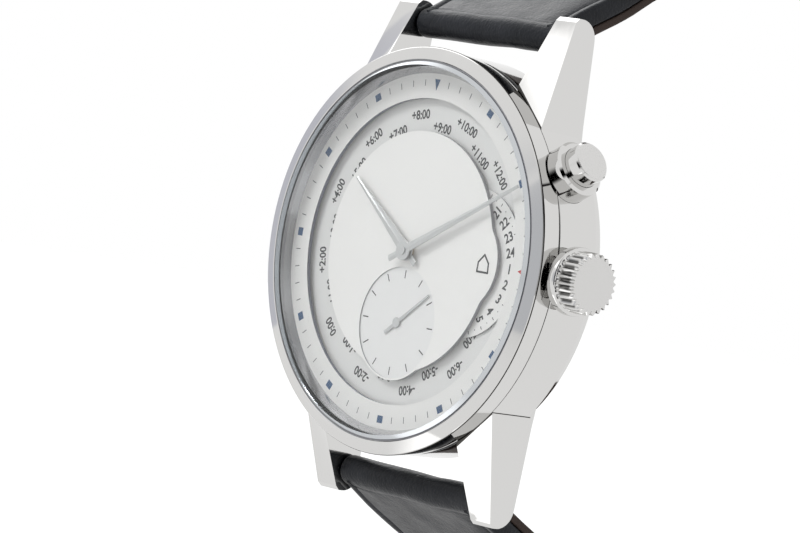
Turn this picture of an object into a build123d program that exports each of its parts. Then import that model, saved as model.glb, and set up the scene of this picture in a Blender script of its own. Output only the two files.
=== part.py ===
from build123d import *
import os
from math import atan2, cos, degrees, hypot, radians, sin, sqrt

# World time wristwatch, in millimetres.
# Every piece is drawn with the dial up: X to 3 o'clock, Y to 12 o'clock, Z out of the dial,
# and height zero on the case back's outer face. save() stands it up: 12 o'clock is +Z, the dial faces -Y.

# Gaps between pieces
running_gap = 0.03
seat_gap = 0.02
slide_gap = 0.12
leather_gap = 0.15
overrun = 1.0

# Case
case_height = 10.85
case_top = 7.9
case_bottom = 2.9
case_top_radius = 19.7
case_bottom_radius = 19.6
movement_bore = 17.2
dial_bore = 17.65
neck_radius = 18.4
neck_height = 1.0
back_thread_radius = 18.0
back_thread_length = 1.3
case_edge = 0.12

# Lugs
strap_width = 20.2
lug_reach = 24.7
lug_ridge_x = 14.25
lug_ridge_y = 13.6
lug_tip_x = 12.95
lug_tip_y = 24.3
lug_tip_front = 4.5
lug_inner_y = 17.4
lug_back = 2.4
lug_tip_back = 1.9
lug_root_y = 9.0
lug_tip_bevel = 0.45
lug_tip_round = 1.7
bar_y = 22.6
bar_height = 3.2
bar_tip_radius = 0.4
bar_tip_length = 1.2
bar_tube_radius = 0.75

# Bezel, crystal and flange
bezel_radius = 19.95
bezel_edge_height = 10.17
bezel_top_height = 10.52
bezel_bore = 18.6
bezel_seat_height = 9.6
bezel_seat_bore = 18.12
crystal_thickness = 1.2
crystal_radius = 18.42
crystal_top_radius = 18.05
crystal_bevel = 0.33
crystal_gasket_low = 9.75
flange_height = 1.05
flange_top_radius = 17.9
flange_low_radius = 17.45

# Dial
dial_thickness = 0.4
minute_ring_bore = 15.0
home_gap = 0.08
home_disc_thickness = 0.15
home_disc_radius = 7.3
home_x = 8.15
home_pin_radius = 0.3
home_hub_radius = 1.0
place_gap = 0.07
place_ring_thickness = 0.3
place_ring_radius = 15.3
place_ring_bore = 11.3
place_tooth_depth = 0.3
place_count = 24
centre_dial_radius = 11.8
seconds_y = -7.0
seconds_bulge_radius = 5.65
seconds_recess_radius = 5.45
seconds_recess_depth = 0.12
home_bulge_x = 8.1
home_bulge_radius = 4.7
bulge_blend = 2.5
dial_foot_radius = 0.5
dial_foot_places = ((-5.0, 8.0), (-5.0, -9.0), (3.5, -9.6))

# Hands
hour_length = 10.9
hour_width = 1.35
hour_turn = 305.1
hour_tail = 1.9
hour_tip_share = 0.22
minute_length = 16.7
minute_width = 0.85
minute_turn = 61.6
minute_tail = 2.1
minute_tip_share = 0.3
tail_width = 0.62
seconds_length = 5.1
seconds_width = 0.34
seconds_turn = 51.5
seconds_tail = 1.86
seconds_tip_share = 0.6
hub_radius = 0.95
seconds_hub_radius = 0.5
hand_thickness = 0.15
seconds_hand_thickness = 0.1
hour_hand_rise = 0.3
minute_hand_rise = 0.69
post_rise = 0.95
seconds_hand_rise = 0.0
cannon_radius = 0.42
hour_pipe_radius = 0.7

# Movement plates
movement_radius = 15.5
plate_low = 5.3
plate_top = 6.9
bridge_low = 2.75
bridge_top = 3.75
bridge_rim_radius = 14.3
dial_base_top = 7.55
ring_wall = 1.6
balance_opening = 4.95
cock_low = 2.45
cock_top = 2.95
cock_width = 4.6
cock_foot_radius = 14.35

# Wheels: tooth counts, modules and arbors
tooth_height_share = 1.1
tooth_depth_share = 1.25
flank_shares = ((0, -0.33), (1, -0.15), (1, 0.15), (0, 0.33))
crossing_shares = (0.26, 0.82, 0.11)
going_module = 0.1
third_module = 0.085
escape_module = 0.075
barrel_module = 5.6 / 48
barrel_teeth = 96
centre_leaves = 12
centre_teeth = 80
third_leaves = 10
third_teeth = 75
fourth_leaves = 10
fourth_teeth = 84
escape_leaves = 7
escape_teeth = 20
escape_radius = 1.9
escape_turn = 190.0
escape_tooth_shares = ((0, 1.0), (0.35, 0.82), (0.9, 0.8))
escape_crossing_share = 0.86
hour_teeth = 30
home_teeth = 60
pocket_extra_teeth = 3
ratchet_teeth = 60
crown_wheel_teeth = 45
winding_teeth = 14
arbor_radius = 0.2
pivot_radius = 0.09
jewel_radius = 0.55
jewel_low = 2.85
jewel_height = 0.45
wheel_thickness = 0.2
barrel_angle = 61.6
barrel_low = 4.35
barrel_height = 0.8
barrel_arbor_radius = 0.8
centre_wheel_height = 3.85
fourth_wheel_height = 4.25
third_wheel_height = 4.7
pallet_height = 4.8
motion_height = 7.05
motion_thickness = 0.25

# Balance
balance_x = -8.2
balance_y = -5.2
balance_radius = 4.2
balance_rim = 0.5
balance_height = 3.35
balance_thickness = 0.35
roller_radius = 0.7
roller_height = 4.5
hairspring_inner = 0.5
hairspring_outer = 3.0
hairspring_strip = 0.06
hairspring_depth = 0.12
hairspring_height = 3.02
hairspring_turns = 5.5
hairspring_steps = 26
pallet_share = 0.54
pallet_arm_share = 1.5
lever_width_share = 0.8
fork_width_share = 2.2

# Winding
crown_wheel_x = 9.6
crown_wheel_low_radius = 1.9
crown_wheel_low = 5.1
crown_wheel_depth = 0.43
ratchet_low = 2.45
ratchet_thickness = 0.27
crown_wheel_arbor = 0.6
stem_height = 6.2
crown_turn = 90.0
stem_radius = 0.4
winding_pinion_radius = 0.6
winding_pinion_x = 7.2
winding_pinion_length = 1.2
winding_root_share = 0.8

# Rotor
rotor_radius = 14.8
rotor_weight_bore = 11.2
rotor_low = 1.5
rotor_plate_low = 2.08
rotor_plate_top = 2.35
rotor_bore = 1.05
rotor_boss_radius = 2.6
rotor_cut_shares = (1.25, 0.9, 0.85)
hub_post_radius = 1.0
hub_flange_radius = 1.2
hub_cap_radius = 1.9
hub_cap_low = 1.25
hub_cap_top = 1.45

# Case back
back_face_radius = 17.1
back_shoulder_radius = 18.3
back_shoulder_height = 1.2
back_flange_radius = 18.75
back_window = 13.1
back_crystal_radius = 14.0
back_crystal_low = 0.25
back_crystal_thickness = 0.9
back_floor = 1.35
back_wall = 0.7
back_gasket_width = 0.4
back_gasket_depth = 0.28
key_slots = 6
key_slot_width = 3.0
key_slot_depth = 0.8
key_slot_radius = 17.5
key_slot_turn = 15.0

# Crown and pusher
crown_back = 20.25
crown_flange_radius = 3.28
crown_flange_length = 0.95
crown_radius = 2.95
crown_face = 23.3
crown_flutes = 26
crown_flute_radius = 0.34
crown_flute_share = 0.35
crown_cavity_radius = 1.65
crown_cavity_depth = 1.9
tube_radius = 1.5
crown_tube_end = 21.0
crown_pull = 1.0
crown_gasket_width = 0.35
pusher_turn = 60.5
pusher_height = 6.2
collar_radius = 2.75
collar_start = 19.0
collar_end = 21.6
collar_floor = 19.9
collar_lip = 0.25
cap_radius = 2.02
cap_face = 23.2
cap_start = 21.0
cap_wall = 0.45
pusher_travel = 0.9
pusher_stem_radius = 0.55
pusher_stem_start = 16.4
pusher_neck_radius = 1.5
pusher_spring_radius = 1.15
pusher_spring_wire = 0.15
pusher_spring_turns = 3

# Strap
strap_end_width = 18.0
strap_roll_radius = 1.6
strap_thick = 2.9
strap_thin = 2.0
lining_thickness = 0.8
glue_gap = 0.04
strap_edge_round = 0.3
strap_turn_upper = 31.0
strap_turn_lower = 28.0
strap_lead = 13.0
upper_bend = 52.0
upper_end_turn = -20.0
upper_tail = 25.0
lower_bend = 60.0
lower_length = 118.0
lining_start = 3.2
strap_station_count = 31
tip_shares = ((0.0, 1.0), (0.45, 0.96), (0.75, 0.84), (0.93, 0.62), (1.0, 0.42))
tip_length = 11.0
hole_count = 7
hole_pitch = 6.5
hole_radius = 0.85
hole_start = 26.0
keeper_wall = 1.1
keeper_length = 5.0
keeper_room = 2.6
fixed_keeper_back = 4.4
loose_keeper_back = 13.5

# Buckle
buckle_bar_radius = 0.7
buckle_roll_radius = 1.5
buckle_inner = 18.5
buckle_arm = 1.7
buckle_length = 11.4
buckle_cross = 2.0
buckle_thickness = 2.0
buckle_eye = 1.3
buckle_hang_turn = -90.0
tongue_width = 1.5
tongue_thickness = 0.85
tongue_eye_radius = 1.35
tongue_slot = 2.6
tongue_slot_length = 6.0

# Fasteners
screw_head_radius = 0.7
screw_head_height = 0.28
screw_radius = 0.35
screw_length = 2.2
screw_slot = 0.18
screw_slot_turn = 30.0
plate_screw_radius = 14.9
plate_screw_turns = (5.0, 72.0, 118.0, 172.0, 285.0, 318.0)
clamp_radius = 16.2
clamp_length = 2.6
clamp_width = 2.0
clamp_height = 0.25
clamp_turns = (25.0, 145.0, 265.0)

crystal_low = case_height - crystal_thickness
dial_top = crystal_low - flange_height
dial_low = dial_top - dial_thickness
home_disc_low = dial_low - home_gap - home_disc_thickness
place_top = home_disc_low - place_gap
place_low = place_top - place_ring_thickness


def save(name, piece):
    """Stand a piece up and write it to its own file."""
    export_step(Rot(90, 0, 0) * piece, f"parts/{name}.step")


def polar(radius, turn):
    """A point at a clock angle, in degrees from 12 o'clock towards 3."""
    return radius * sin(radians(turn)), radius * cos(radians(turn))


def rod(radius, low, high, x=0, y=0):
    """A round bar between two heights."""
    return Pos(x, y, low) * extrude(Circle(radius), high - low)


def ring(outer, inner, low, high, x=0, y=0):
    """A flat ring between two heights."""
    return Pos(x, y, low) * extrude(Circle(outer) - Circle(inner), high - low)


def group(shapes):
    """Several like solids that make one piece."""
    return Compound([solid for shape in shapes for solid in shape.solids()])


def block(x_low, x_high, y_low, y_high, low, high):
    """A plain block from its limits."""
    face = Pos((x_low + x_high) / 2, (y_low + y_high) / 2) * Rectangle(x_high - x_low, y_high - y_low)
    return Pos(0, 0, low) * extrude(face, high - low)


def turned(*points):
    """A ring turned about the dial's axis from an outline of radius and height."""
    return revolve(Plane.XZ * Polygon(*points, align=None), Axis.Z)


def turned_about(axis_frame, *points):
    """A round piece turned about the Z axis of a frame, from an outline of radius and length."""
    return axis_frame * turned(*points)


def radial_frame(turn, height):
    """A frame whose Z axis leaves the case at a clock angle and height."""
    x, y = polar(1, turn)
    return Plane(origin=(0, 0, height), x_dir=(-y, x, 0), z_dir=(x, y, 0)).location


def crown_frame():
    """The crown's frame, its Z axis pointing out at 3 o'clock."""
    return radial_frame(crown_turn, stem_height)


def pusher_frame():
    """The pusher's frame, its Z axis pointing out."""
    return radial_frame(pusher_turn, pusher_height)


def tooth_outline(count, root, tip, turn=0):
    """The outline of a wheel with flat-topped teeth, one of them at the given clock angle."""
    points = []
    for index in range(count):
        for share, place in flank_shares:
            points.append(polar(root + share * (tip - root), turn + (index + place) * 360 / count))
    return Polygon(*points, align=None)


def wheel(count, module, turn=0):
    """The outline of a going wheel from its tooth count and module."""
    pitch = count * module / 2
    root, tip = pitch - tooth_depth_share * module, pitch + tooth_height_share * module
    return tooth_outline(count, root, tip, turn)


def flat(outline, low, thickness, x=0, y=0):
    """A flat piece of an outline, laid at a height and place."""
    return Pos(x, y, low) * extrude(outline, thickness, dir=(0, 0, 1))


def crossings(pitch_radius):
    """The cut-outs between a wheel's four spokes."""
    hub, rim, spoke = (share * pitch_radius for share in crossing_shares)
    gaps = Circle(rim) - Circle(hub)
    return gaps - Rectangle(2 * pitch_radius, 2 * spoke) - Rectangle(2 * spoke, 2 * pitch_radius)


def lug(x_side, y_side):
    """One lug: a ruled body between its slanted outer face and its inner face."""
    slope = (lug_tip_x - lug_ridge_x) / (lug_tip_y - lug_ridge_y)
    inner_x = strap_width / 2
    tip = [
        (lug_tip_y, lug_tip_front), (lug_reach, lug_tip_front - lug_tip_bevel), (lug_reach, lug_tip_back),
        (bar_y, lug_tip_back), (lug_ridge_y + overrun, lug_back),
    ]
    root = [(lug_root_y, lug_back + case_edge), (lug_root_y, case_top)]
    outer = root + [(lug_ridge_y, case_top)] + tip
    inner = root + [(lug_inner_y, case_top)] + tip
    far = [Vector(lug_ridge_x + slope * (y - lug_ridge_y), y, z) for y, z in outer]
    near = [Vector(inner_x, y, z) for y, z in inner]
    shape = Solid.make_loft([Wire.make_polygon(near), Wire.make_polygon(far)], ruled=True)
    corner = ((inner_x + lug_tip_x) / 2, lug_reach, lug_tip_back)
    shape = fillet(shape.edges().sort_by_distance(corner)[0], lug_tip_round)
    if x_side < 0:
        shape = mirror(shape, Plane.YZ)
    return mirror(shape, Plane.XZ) if y_side < 0 else shape


def mid_case():
    """The middle case with its four lugs, bored for the movement, the back, the crown and the pusher."""
    body = turned(
        (0, case_bottom), (case_bottom_radius - case_edge, case_bottom),
        (case_bottom_radius, case_bottom + case_edge), (case_top_radius, case_top - case_edge),
        (case_top_radius - case_edge, case_top), (neck_radius, case_top),
        (neck_radius, case_top + neck_height), (0, case_top + neck_height),
    )
    for x_side in (-1, 1):
        for y_side in (-1, 1):
            body += lug(x_side, y_side)
    body -= rod(back_flange_radius + seat_gap, -overrun, case_bottom)
    body -= rod(back_thread_radius, -overrun, case_bottom + back_thread_length)
    body -= rod(movement_bore, 0, dial_low)
    body -= rod(dial_bore, dial_low, case_height)
    body -= crown_frame() * rod(tube_radius + seat_gap, 0, 2 * case_height)
    body -= pusher_frame() * rod(pusher_neck_radius + seat_gap, 0, 2 * case_height)
    body -= pusher_frame() * rod(collar_radius + seat_gap, collar_start, 2 * case_height)
    reach = strap_width / 2 + bar_tip_length + seat_gap
    for side in (-1, 1):
        hole = rod(bar_tip_radius + seat_gap, -reach, reach)
        body -= Pos(0, side * bar_y, bar_height) * Rot(0, 90, 0) * hole
    return body


def bezel():
    """The bezel: a flat polished slope, a straight band, and the seat for the crystal."""
    return turned(
        (bezel_bore, bezel_seat_height), (bezel_bore, bezel_top_height - case_edge / 2),
        (bezel_bore + case_edge / 2, bezel_top_height),
        (bezel_radius - case_edge, bezel_edge_height + case_edge / 4),
        (bezel_radius, bezel_edge_height - case_edge),
        (case_top_radius + case_edge / 2, case_top + seat_gap + case_edge),
        (case_top_radius - case_edge / 2, case_top + seat_gap),
        (neck_radius + seat_gap, case_top + seat_gap),
        (neck_radius + seat_gap, case_top + neck_height + seat_gap),
        (bezel_seat_bore, case_top + neck_height + seat_gap), (bezel_seat_bore, bezel_seat_height),
    )


def crystal():
    """The flat sapphire crystal with its polished bevel."""
    return turned(
        (0, crystal_low), (crystal_radius, crystal_low), (crystal_radius, case_height - crystal_bevel),
        (crystal_top_radius, case_height), (0, case_height),
    )


def crystal_gasket():
    """The thin nylon ring pressed between crystal and bezel, with a foot under the glass."""
    return turned(
        (crystal_radius + seat_gap, crystal_gasket_low), (bezel_bore - seat_gap, crystal_gasket_low),
        (bezel_bore - seat_gap, bezel_top_height - case_edge),
        (crystal_radius + seat_gap, bezel_top_height - case_edge),
    )


def flange_ring():
    """The slanted inner ring between crystal and dial."""
    return turned(
        (flange_low_radius, dial_top), (dial_bore - seat_gap, dial_top),
        (dial_bore - seat_gap, case_top + neck_height + 2 * seat_gap),
        (bezel_seat_bore - seat_gap, case_top + neck_height + 2 * seat_gap),
        (bezel_seat_bore - seat_gap, crystal_low - seat_gap), (flange_top_radius, crystal_low - seat_gap),
    )


def minute_ring():
    """The fixed outer ring that carries the hour and minute marks."""
    return ring(dial_bore - seat_gap, minute_ring_bore, dial_low, dial_top)


def centre_outline():
    """The centre dial's outline: a disc with bulges for the small seconds and the home disc."""
    base = Circle(centre_dial_radius) + Pos(0, seconds_y) * Circle(seconds_bulge_radius)
    base += Pos(home_bulge_x, 0) * Circle(home_bulge_radius)
    corners = [v for v in base.vertices() if hypot(v.X, v.Y) > centre_dial_radius - overrun / 2]
    return fillet(corners, bulge_blend)


def centre_dial():
    """The raised centre dial on its feet, recessed for the small seconds."""
    plate = flat(centre_outline(), dial_low, dial_thickness)
    plate -= rod(seconds_recess_radius, dial_top - seconds_recess_depth, case_height, 0, seconds_y)
    plate -= rod(arbor_radius + running_gap, 0, case_height, 0, seconds_y)
    plate -= rod(hour_pipe_radius + running_gap, 0, case_height)
    for x, y in dial_foot_places:
        plate += rod(dial_foot_radius, dial_base_top, dial_low, x, y)
    return plate


def place_ring():
    """The turning place ring, with one drive tooth for each hour on its inner edge."""
    outline = Circle(place_ring_radius) - tooth_outline(
        place_count, place_ring_bore, place_ring_bore + place_tooth_depth)
    return flat(outline, place_low, place_ring_thickness)


def home_disc():
    """The 24 hour home disc, seated on its wheel's hub."""
    return ring(home_disc_radius, home_pin_radius + running_gap, home_disc_low,
                home_disc_low + home_disc_thickness, home_x)


def home_wheel():
    """The wheel that turns the home disc, half as fast as the hour wheel."""
    module = home_x * 2 / (hour_teeth + home_teeth)
    outline = wheel(home_teeth, module, 270 + 180 / home_teeth) - crossings(home_teeth * module / 2)
    gear = flat(outline, motion_height, motion_thickness, home_x)
    gear += rod(home_hub_radius, motion_height, home_disc_low, home_x)
    return gear - rod(home_pin_radius + running_gap, 0, case_height, home_x)


def hour_wheel():
    """The hour wheel and the pipe that carries the hour hand."""
    module = home_x * 2 / (hour_teeth + home_teeth)
    gear = flat(wheel(hour_teeth, module, 90), motion_height, motion_thickness)
    gear += rod(hour_pipe_radius, motion_height, hour_hand_top())
    return gear - rod(cannon_radius + running_gap, 0, case_height)


def hour_hand_top():
    """The height of the hour hand's upper face."""
    return dial_top + hour_hand_rise + hand_thickness


def cannon_pinion():
    """The pipe that carries the minute hand and turns on the centre arbor."""
    pipe = rod(cannon_radius, plate_top + seat_gap, dial_top + post_rise)
    return pipe - rod(arbor_radius + running_gap, 0, dial_top + minute_hand_rise)


def lance(length, width, tail, tail_thick, tip_share):
    """A slim tapering hand outline pointing to 12 o'clock, with a short straight tail."""
    blade = Polygon((-width / 2, 0), (width / 2, 0), (width * tip_share / 2, length),
                    (-width * tip_share / 2, length), align=None)
    return blade + Pos(0, -tail / 2) * Rectangle(tail_thick, tail)


def hand(outline, hub, bore, low, thickness, turn):
    """A hand from its outline, hub and bore, turned to its clock angle."""
    return Rot(0, 0, -turn) * flat(outline + Circle(hub) - Circle(bore), low, thickness)


def hour_hand():
    """The hour hand on the hour wheel's pipe."""
    outline = lance(hour_length, hour_width, hour_tail, tail_width, hour_tip_share)
    return hand(outline, hub_radius, hour_pipe_radius + seat_gap / 2, dial_top + hour_hand_rise,
                hand_thickness, hour_turn)


def minute_hand():
    """The minute hand on the cannon pinion."""
    outline = lance(minute_length, minute_width, minute_tail, tail_width, minute_tip_share)
    return hand(outline, hub_radius, cannon_radius + seat_gap / 2, dial_top + minute_hand_rise,
                hand_thickness, minute_turn)


def seconds_hand():
    """The small seconds hand on the fourth wheel's pivot."""
    outline = lance(seconds_length, seconds_width, seconds_tail, seconds_width, seconds_tip_share)
    shape = hand(outline, seconds_hub_radius, pivot_radius + seat_gap / 2, dial_top + seconds_hand_rise,
                 seconds_hand_thickness, seconds_turn)
    return Pos(0, seconds_y, 0) * shape


def train_places():
    """Where the barrel, third wheel, escape wheel and pallet fork stand, from their gear distances."""
    barrel_distance = (barrel_teeth + centre_leaves) * barrel_module / 2
    first = (centre_teeth + third_leaves) * going_module / 2
    second = (third_teeth + fourth_leaves) * third_module / 2
    down = (first**2 - second**2 + seconds_y**2) / (2 * -seconds_y)
    third = (sqrt(first**2 - down**2), -down)
    escape_distance = (fourth_teeth + escape_leaves) * escape_module / 2
    escape_x = escape_distance * cos(radians(escape_turn))
    escape = (escape_x, seconds_y + escape_distance * sin(radians(escape_turn)))
    pallet = tuple(a + pallet_share * (b - a) for a, b in zip(escape, (balance_x, balance_y)))
    barrel = (barrel_distance * cos(radians(barrel_angle)), barrel_distance * sin(radians(barrel_angle)))
    return barrel, third, escape, pallet


def bearing(start, end):
    """The clock angle from one place to another."""
    return degrees(atan2(end[0] - start[0], end[1] - start[1]))


def arbor(place, low, high):
    """A wheel's arbor with its thin pivot running into the jewel."""
    pivot_end = jewel_low + jewel_height / 4
    return rod(arbor_radius, jewel_low + jewel_height, high, *place) + rod(
        pivot_radius, pivot_end, low, *place)


def spoked(place, teeth, module, turn, low):
    """A train wheel's spoked disc."""
    return flat(wheel(teeth, module, turn) - crossings(teeth * module / 2), low, wheel_thickness, *place)


def pinion(place, leaves, module, turn, low, high):
    """A train wheel's pinion between two heights."""
    return flat(wheel(leaves, module, turn), low, high - low, *place)


def barrel():
    """The mainspring barrel, closed, with teeth round its edge."""
    place = train_places()[0]
    outline = wheel(barrel_teeth, barrel_module, bearing(place, (0, 0)))
    drum = flat(outline, barrel_low, barrel_height, *place)
    return drum - rod(barrel_arbor_radius + running_gap, 0, case_height, *place)


def centre_wheel():
    """The centre wheel; its long arbor carries the cannon pinion."""
    barrel_place, third, _, _ = train_places()
    here = (0, 0)
    shape = spoked(here, centre_teeth, going_module, bearing(here, third), centre_wheel_height)
    shape += pinion(here, centre_leaves, barrel_module, bearing(here, barrel_place) + 180 / centre_leaves,
                    barrel_low, barrel_low + barrel_height)
    return shape + arbor(here, barrel_low, dial_top + minute_hand_rise - seat_gap)


def third_wheel():
    """The third wheel, between the centre wheel and the small seconds."""
    _, third, _, _ = train_places()
    shape = spoked(third, third_teeth, third_module, bearing(third, (0, seconds_y)), third_wheel_height)
    shape += pinion(third, third_leaves, going_module, bearing(third, (0, 0)) + 180 / third_leaves,
                    centre_wheel_height, fourth_wheel_height - seat_gap)
    return shape + arbor(third, centre_wheel_height, plate_low + wheel_thickness)


def fourth_wheel():
    """The fourth wheel; its arbor reaches through the dial to the small seconds hand."""
    _, third, escape, _ = train_places()
    here = (0, seconds_y)
    shape = spoked(here, fourth_teeth, escape_module, bearing(here, escape), fourth_wheel_height)
    shape += pinion(here, fourth_leaves, third_module, bearing(here, third) + 180 / fourth_leaves,
                    fourth_wheel_height, third_wheel_height + wheel_thickness + seat_gap)
    shape += arbor(here, fourth_wheel_height, dial_low + dial_thickness / 2)
    return shape + rod(pivot_radius, dial_low, dial_top + seconds_hand_rise + seconds_hand_thickness, *here)


def escape_wheel():
    """The escape wheel with pointed teeth, and its pinion."""
    _, _, escape, _ = train_places()
    points = [polar(escape_radius * share, (index + place) * 360 / escape_teeth)
              for index in range(escape_teeth) for place, share in escape_tooth_shares]
    outline = Polygon(*points, align=None) - crossings(escape_radius * escape_crossing_share)
    leaf_turn = bearing(escape, (0, seconds_y)) + 180 / escape_leaves
    shape = flat(outline, pallet_height, wheel_thickness / 2, *escape)
    shape += flat(wheel(escape_leaves, escape_module, leaf_turn), fourth_wheel_height - seat_gap,
                  wheel_thickness * 2, *escape)
    return shape + arbor(escape, fourth_wheel_height, plate_low + wheel_thickness)


def pallet_fork():
    """The pallet fork: two arms over the escape wheel and a lever towards the balance."""
    _, _, escape, pallet = train_places()
    towards = bearing(pallet, escape)
    reach = hypot(escape[0] - pallet[0], escape[1] - pallet[1])
    tip = reach - escape_radius - running_gap * 2
    arm = wheel_thickness * 2
    lever = hypot(balance_x - pallet[0], balance_y - pallet[1]) - roller_radius - arm
    body = Pos(0, tip / 2 - arm / 2) * Rectangle(arm, tip - arm / 2)
    body += Pos(0, tip - arm / 2) * Rectangle(escape_radius * pallet_arm_share, arm)
    body += Pos(0, -lever / 2) * Rectangle(arm * lever_width_share, lever)
    body += Pos(0, -lever) * Rectangle(arm * fork_width_share, arm * lever_width_share)
    body += Circle(arm)
    outline = body - Pos(0, reach) * Circle(escape_radius + running_gap * 2)
    shape = Rot(0, 0, -towards) * flat(outline, pallet_height, wheel_thickness / 2)
    staff = rod(arbor_radius, bridge_top + seat_gap * 2, plate_low + wheel_thickness, *pallet)
    return Pos(*pallet, 0) * shape + staff


def balance_wheel():
    """The balance: rim, two spokes, staff and roller."""
    rim = Circle(balance_radius) - Circle(balance_radius - balance_rim)
    outline = rim + Rectangle(2 * balance_radius - balance_rim, balance_rim) + Circle(balance_rim)
    shape = flat(outline, balance_height, balance_thickness)
    shape += rod(arbor_radius, cock_top + seat_gap, plate_low + wheel_thickness)
    shape += rod(roller_radius, roller_height, roller_height + wheel_thickness / 2)
    return Pos(balance_x, balance_y, 0) * shape


def hairspring():
    """The flat spiral hairspring, its outer end pinned under the cock."""
    outer, inner = [], []
    count = int(hairspring_turns * hairspring_steps)
    for index in range(count + 1):
        share = index / count
        radius = hairspring_inner + share * (hairspring_outer - hairspring_inner)
        turn = share * hairspring_turns * 360
        outer.append(polar(radius + hairspring_strip / 2, turn))
        inner.append(polar(radius - hairspring_strip / 2, turn))
    strip = Polygon(*outer, *reversed(inner), align=None)
    collet = Circle(hairspring_inner) - Circle(arbor_radius + running_gap)
    end = polar(hairspring_outer, hairspring_turns * 360)
    shape = flat(strip + collet, hairspring_height, hairspring_depth, balance_x, balance_y)
    return shape + rod(hairspring_strip * 4, cock_top + seat_gap, hairspring_height + hairspring_depth,
                       balance_x + end[0], balance_y + end[1])


def balance_turn():
    """The clock angle of the balance seen from the centre."""
    return bearing((0, 0), (balance_x, balance_y))


def balance_cock():
    """The balance cock: an arm over the balance and a foot on the main plate."""
    distance = hypot(balance_x, balance_y)
    half = cock_width / 2
    arm = block(-half, half, distance, movement_radius, cock_low, cock_top)
    arm += rod(half, cock_low, cock_top, 0, distance)
    arm += block(-half, half, cock_foot_radius, movement_radius, cock_low, plate_low)
    arm &= rod(movement_radius - seat_gap * 5, 0, case_height)
    arm -= rod(jewel_radius + seat_gap, 0, case_height, 0, distance)
    return Rot(0, 0, -balance_turn()) * arm


def bridge():
    """The three quarter plate with its rim, opened for the balance."""
    _, _, _, pallet = train_places()
    outer = movement_radius - seat_gap * 5
    body = rod(outer, bridge_low, bridge_top)
    body += ring(outer, bridge_rim_radius, bridge_top, plate_low)
    gap = Rot(0, 0, -balance_turn()) * block(-balance_opening, balance_opening, hypot(balance_x, balance_y),
                                             movement_radius + overrun, 0, plate_low)
    body -= gap + rod(balance_opening, 0, plate_low, balance_x, balance_y)
    for place in jewel_places():
        body -= rod(jewel_radius + seat_gap, 0, plate_low, *place)
    body -= rod(barrel_arbor_radius + running_gap, 0, plate_low, *train_places()[0])
    body -= rod(crown_wheel_arbor + running_gap, 0, plate_low, crown_wheel_x)
    for turn in plate_screw_turns:
        x, y = polar(plate_screw_radius, turn)
        body -= rod(screw_radius + seat_gap, 0, bridge_low + screw_length + seat_gap, x, y)
    return body


def jewel_places():
    """Where the train's bearings sit in the three quarter plate."""
    _, third, escape, _ = train_places()
    return ((0, 0), (0, seconds_y), third, escape)


def jewels():
    """The pierced ruby bearings, one of them in the balance cock."""
    shapes = [ring(jewel_radius, pivot_radius + running_gap, jewel_low, jewel_low + jewel_height, *place)
              for place in jewel_places()]
    shapes.append(rod(jewel_radius, cock_low + case_edge, cock_top, balance_x, balance_y))
    return group(shapes)


def screw(x, y, head_top, low):
    """A slotted screw standing head down on a plate's back face."""
    slot = Rot(0, 0, screw_slot_turn) * Box(3 * screw_head_radius, screw_slot, screw_head_height)
    head_base = head_top + screw_head_height
    body = rod(screw_head_radius, head_top, head_base) + rod(screw_radius, head_base, low)
    return Pos(x, y, 0) * (body - Pos(0, 0, head_top) * slot)


def plate_screws():
    """The screws that hold the three quarter plate."""
    shapes = []
    for turn in plate_screw_turns:
        x, y = polar(plate_screw_radius, turn)
        shapes.append(screw(x, y, bridge_low - screw_head_height, bridge_low + screw_length))
    return group(shapes)


def main_plate():
    """The main plate, bored for the arbors and cut for the winding work."""
    barrel_place, third, escape, pallet = train_places()
    body = rod(movement_radius, plate_low, plate_top)
    body -= rod(arbor_radius + running_gap, 0, case_height)
    body -= rod(arbor_radius + running_gap, 0, case_height, 0, seconds_y)
    for place in (third, escape, pallet, (balance_x, balance_y)):
        body -= rod(arbor_radius + running_gap, 0, plate_low + wheel_thickness * 2, *place)
    body -= rod(barrel_arbor_radius + running_gap, 0, plate_low + wheel_thickness * 2, *barrel_place)
    body -= rod(crown_wheel_low_radius + slide_gap, 0, crown_wheel_low + crown_wheel_depth + running_gap,
                crown_wheel_x)
    pinion_start = winding_pinion_x - slide_gap
    body -= crown_frame() * rod(stem_radius + slide_gap, pinion_start, 2 * case_height)
    pinion_end = winding_pinion_x + winding_pinion_length + slide_gap
    body -= crown_frame() * rod(winding_pinion_radius + slide_gap, pinion_start, pinion_end)
    return body


def dial_base():
    """The plate under the dial that carries the place ring and the home disc's pin."""
    body = rod(movement_radius, plate_top, dial_base_top)
    module = home_x * 2 / (hour_teeth + home_teeth)
    floor = motion_height - seat_gap
    body -= rod((home_teeth + pocket_extra_teeth) * module / 2, floor, case_height, home_x)
    body -= rod((hour_teeth + pocket_extra_teeth) * module / 2, floor, case_height)
    body -= rod(cannon_radius + slide_gap, 0, case_height)
    body -= rod(arbor_radius + running_gap, 0, case_height, 0, seconds_y)
    return body + rod(home_pin_radius, plate_top, dial_low - seat_gap, home_x)


def movement_ring():
    """The ring that centres the movement in the case, notched for the stem and the pusher."""
    body = ring(movement_bore - seat_gap, movement_radius + seat_gap, bridge_low, dial_base_top)
    step = ring(movement_bore + overrun, back_thread_radius - back_wall - seat_gap * 4, 0,
                case_bottom + back_thread_length + seat_gap)
    body -= step
    body -= crown_frame() * rod(stem_radius + slide_gap, 0, case_height * 2)
    body -= pusher_frame() * rod(pusher_stem_radius + slide_gap, 0, case_height * 2)
    for turn in clamp_turns:
        x, y = polar(clamp_radius, turn)
        body -= rod(screw_radius + seat_gap, 0, bridge_low + screw_length / 2 + seat_gap, x, y)
    return body


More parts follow.
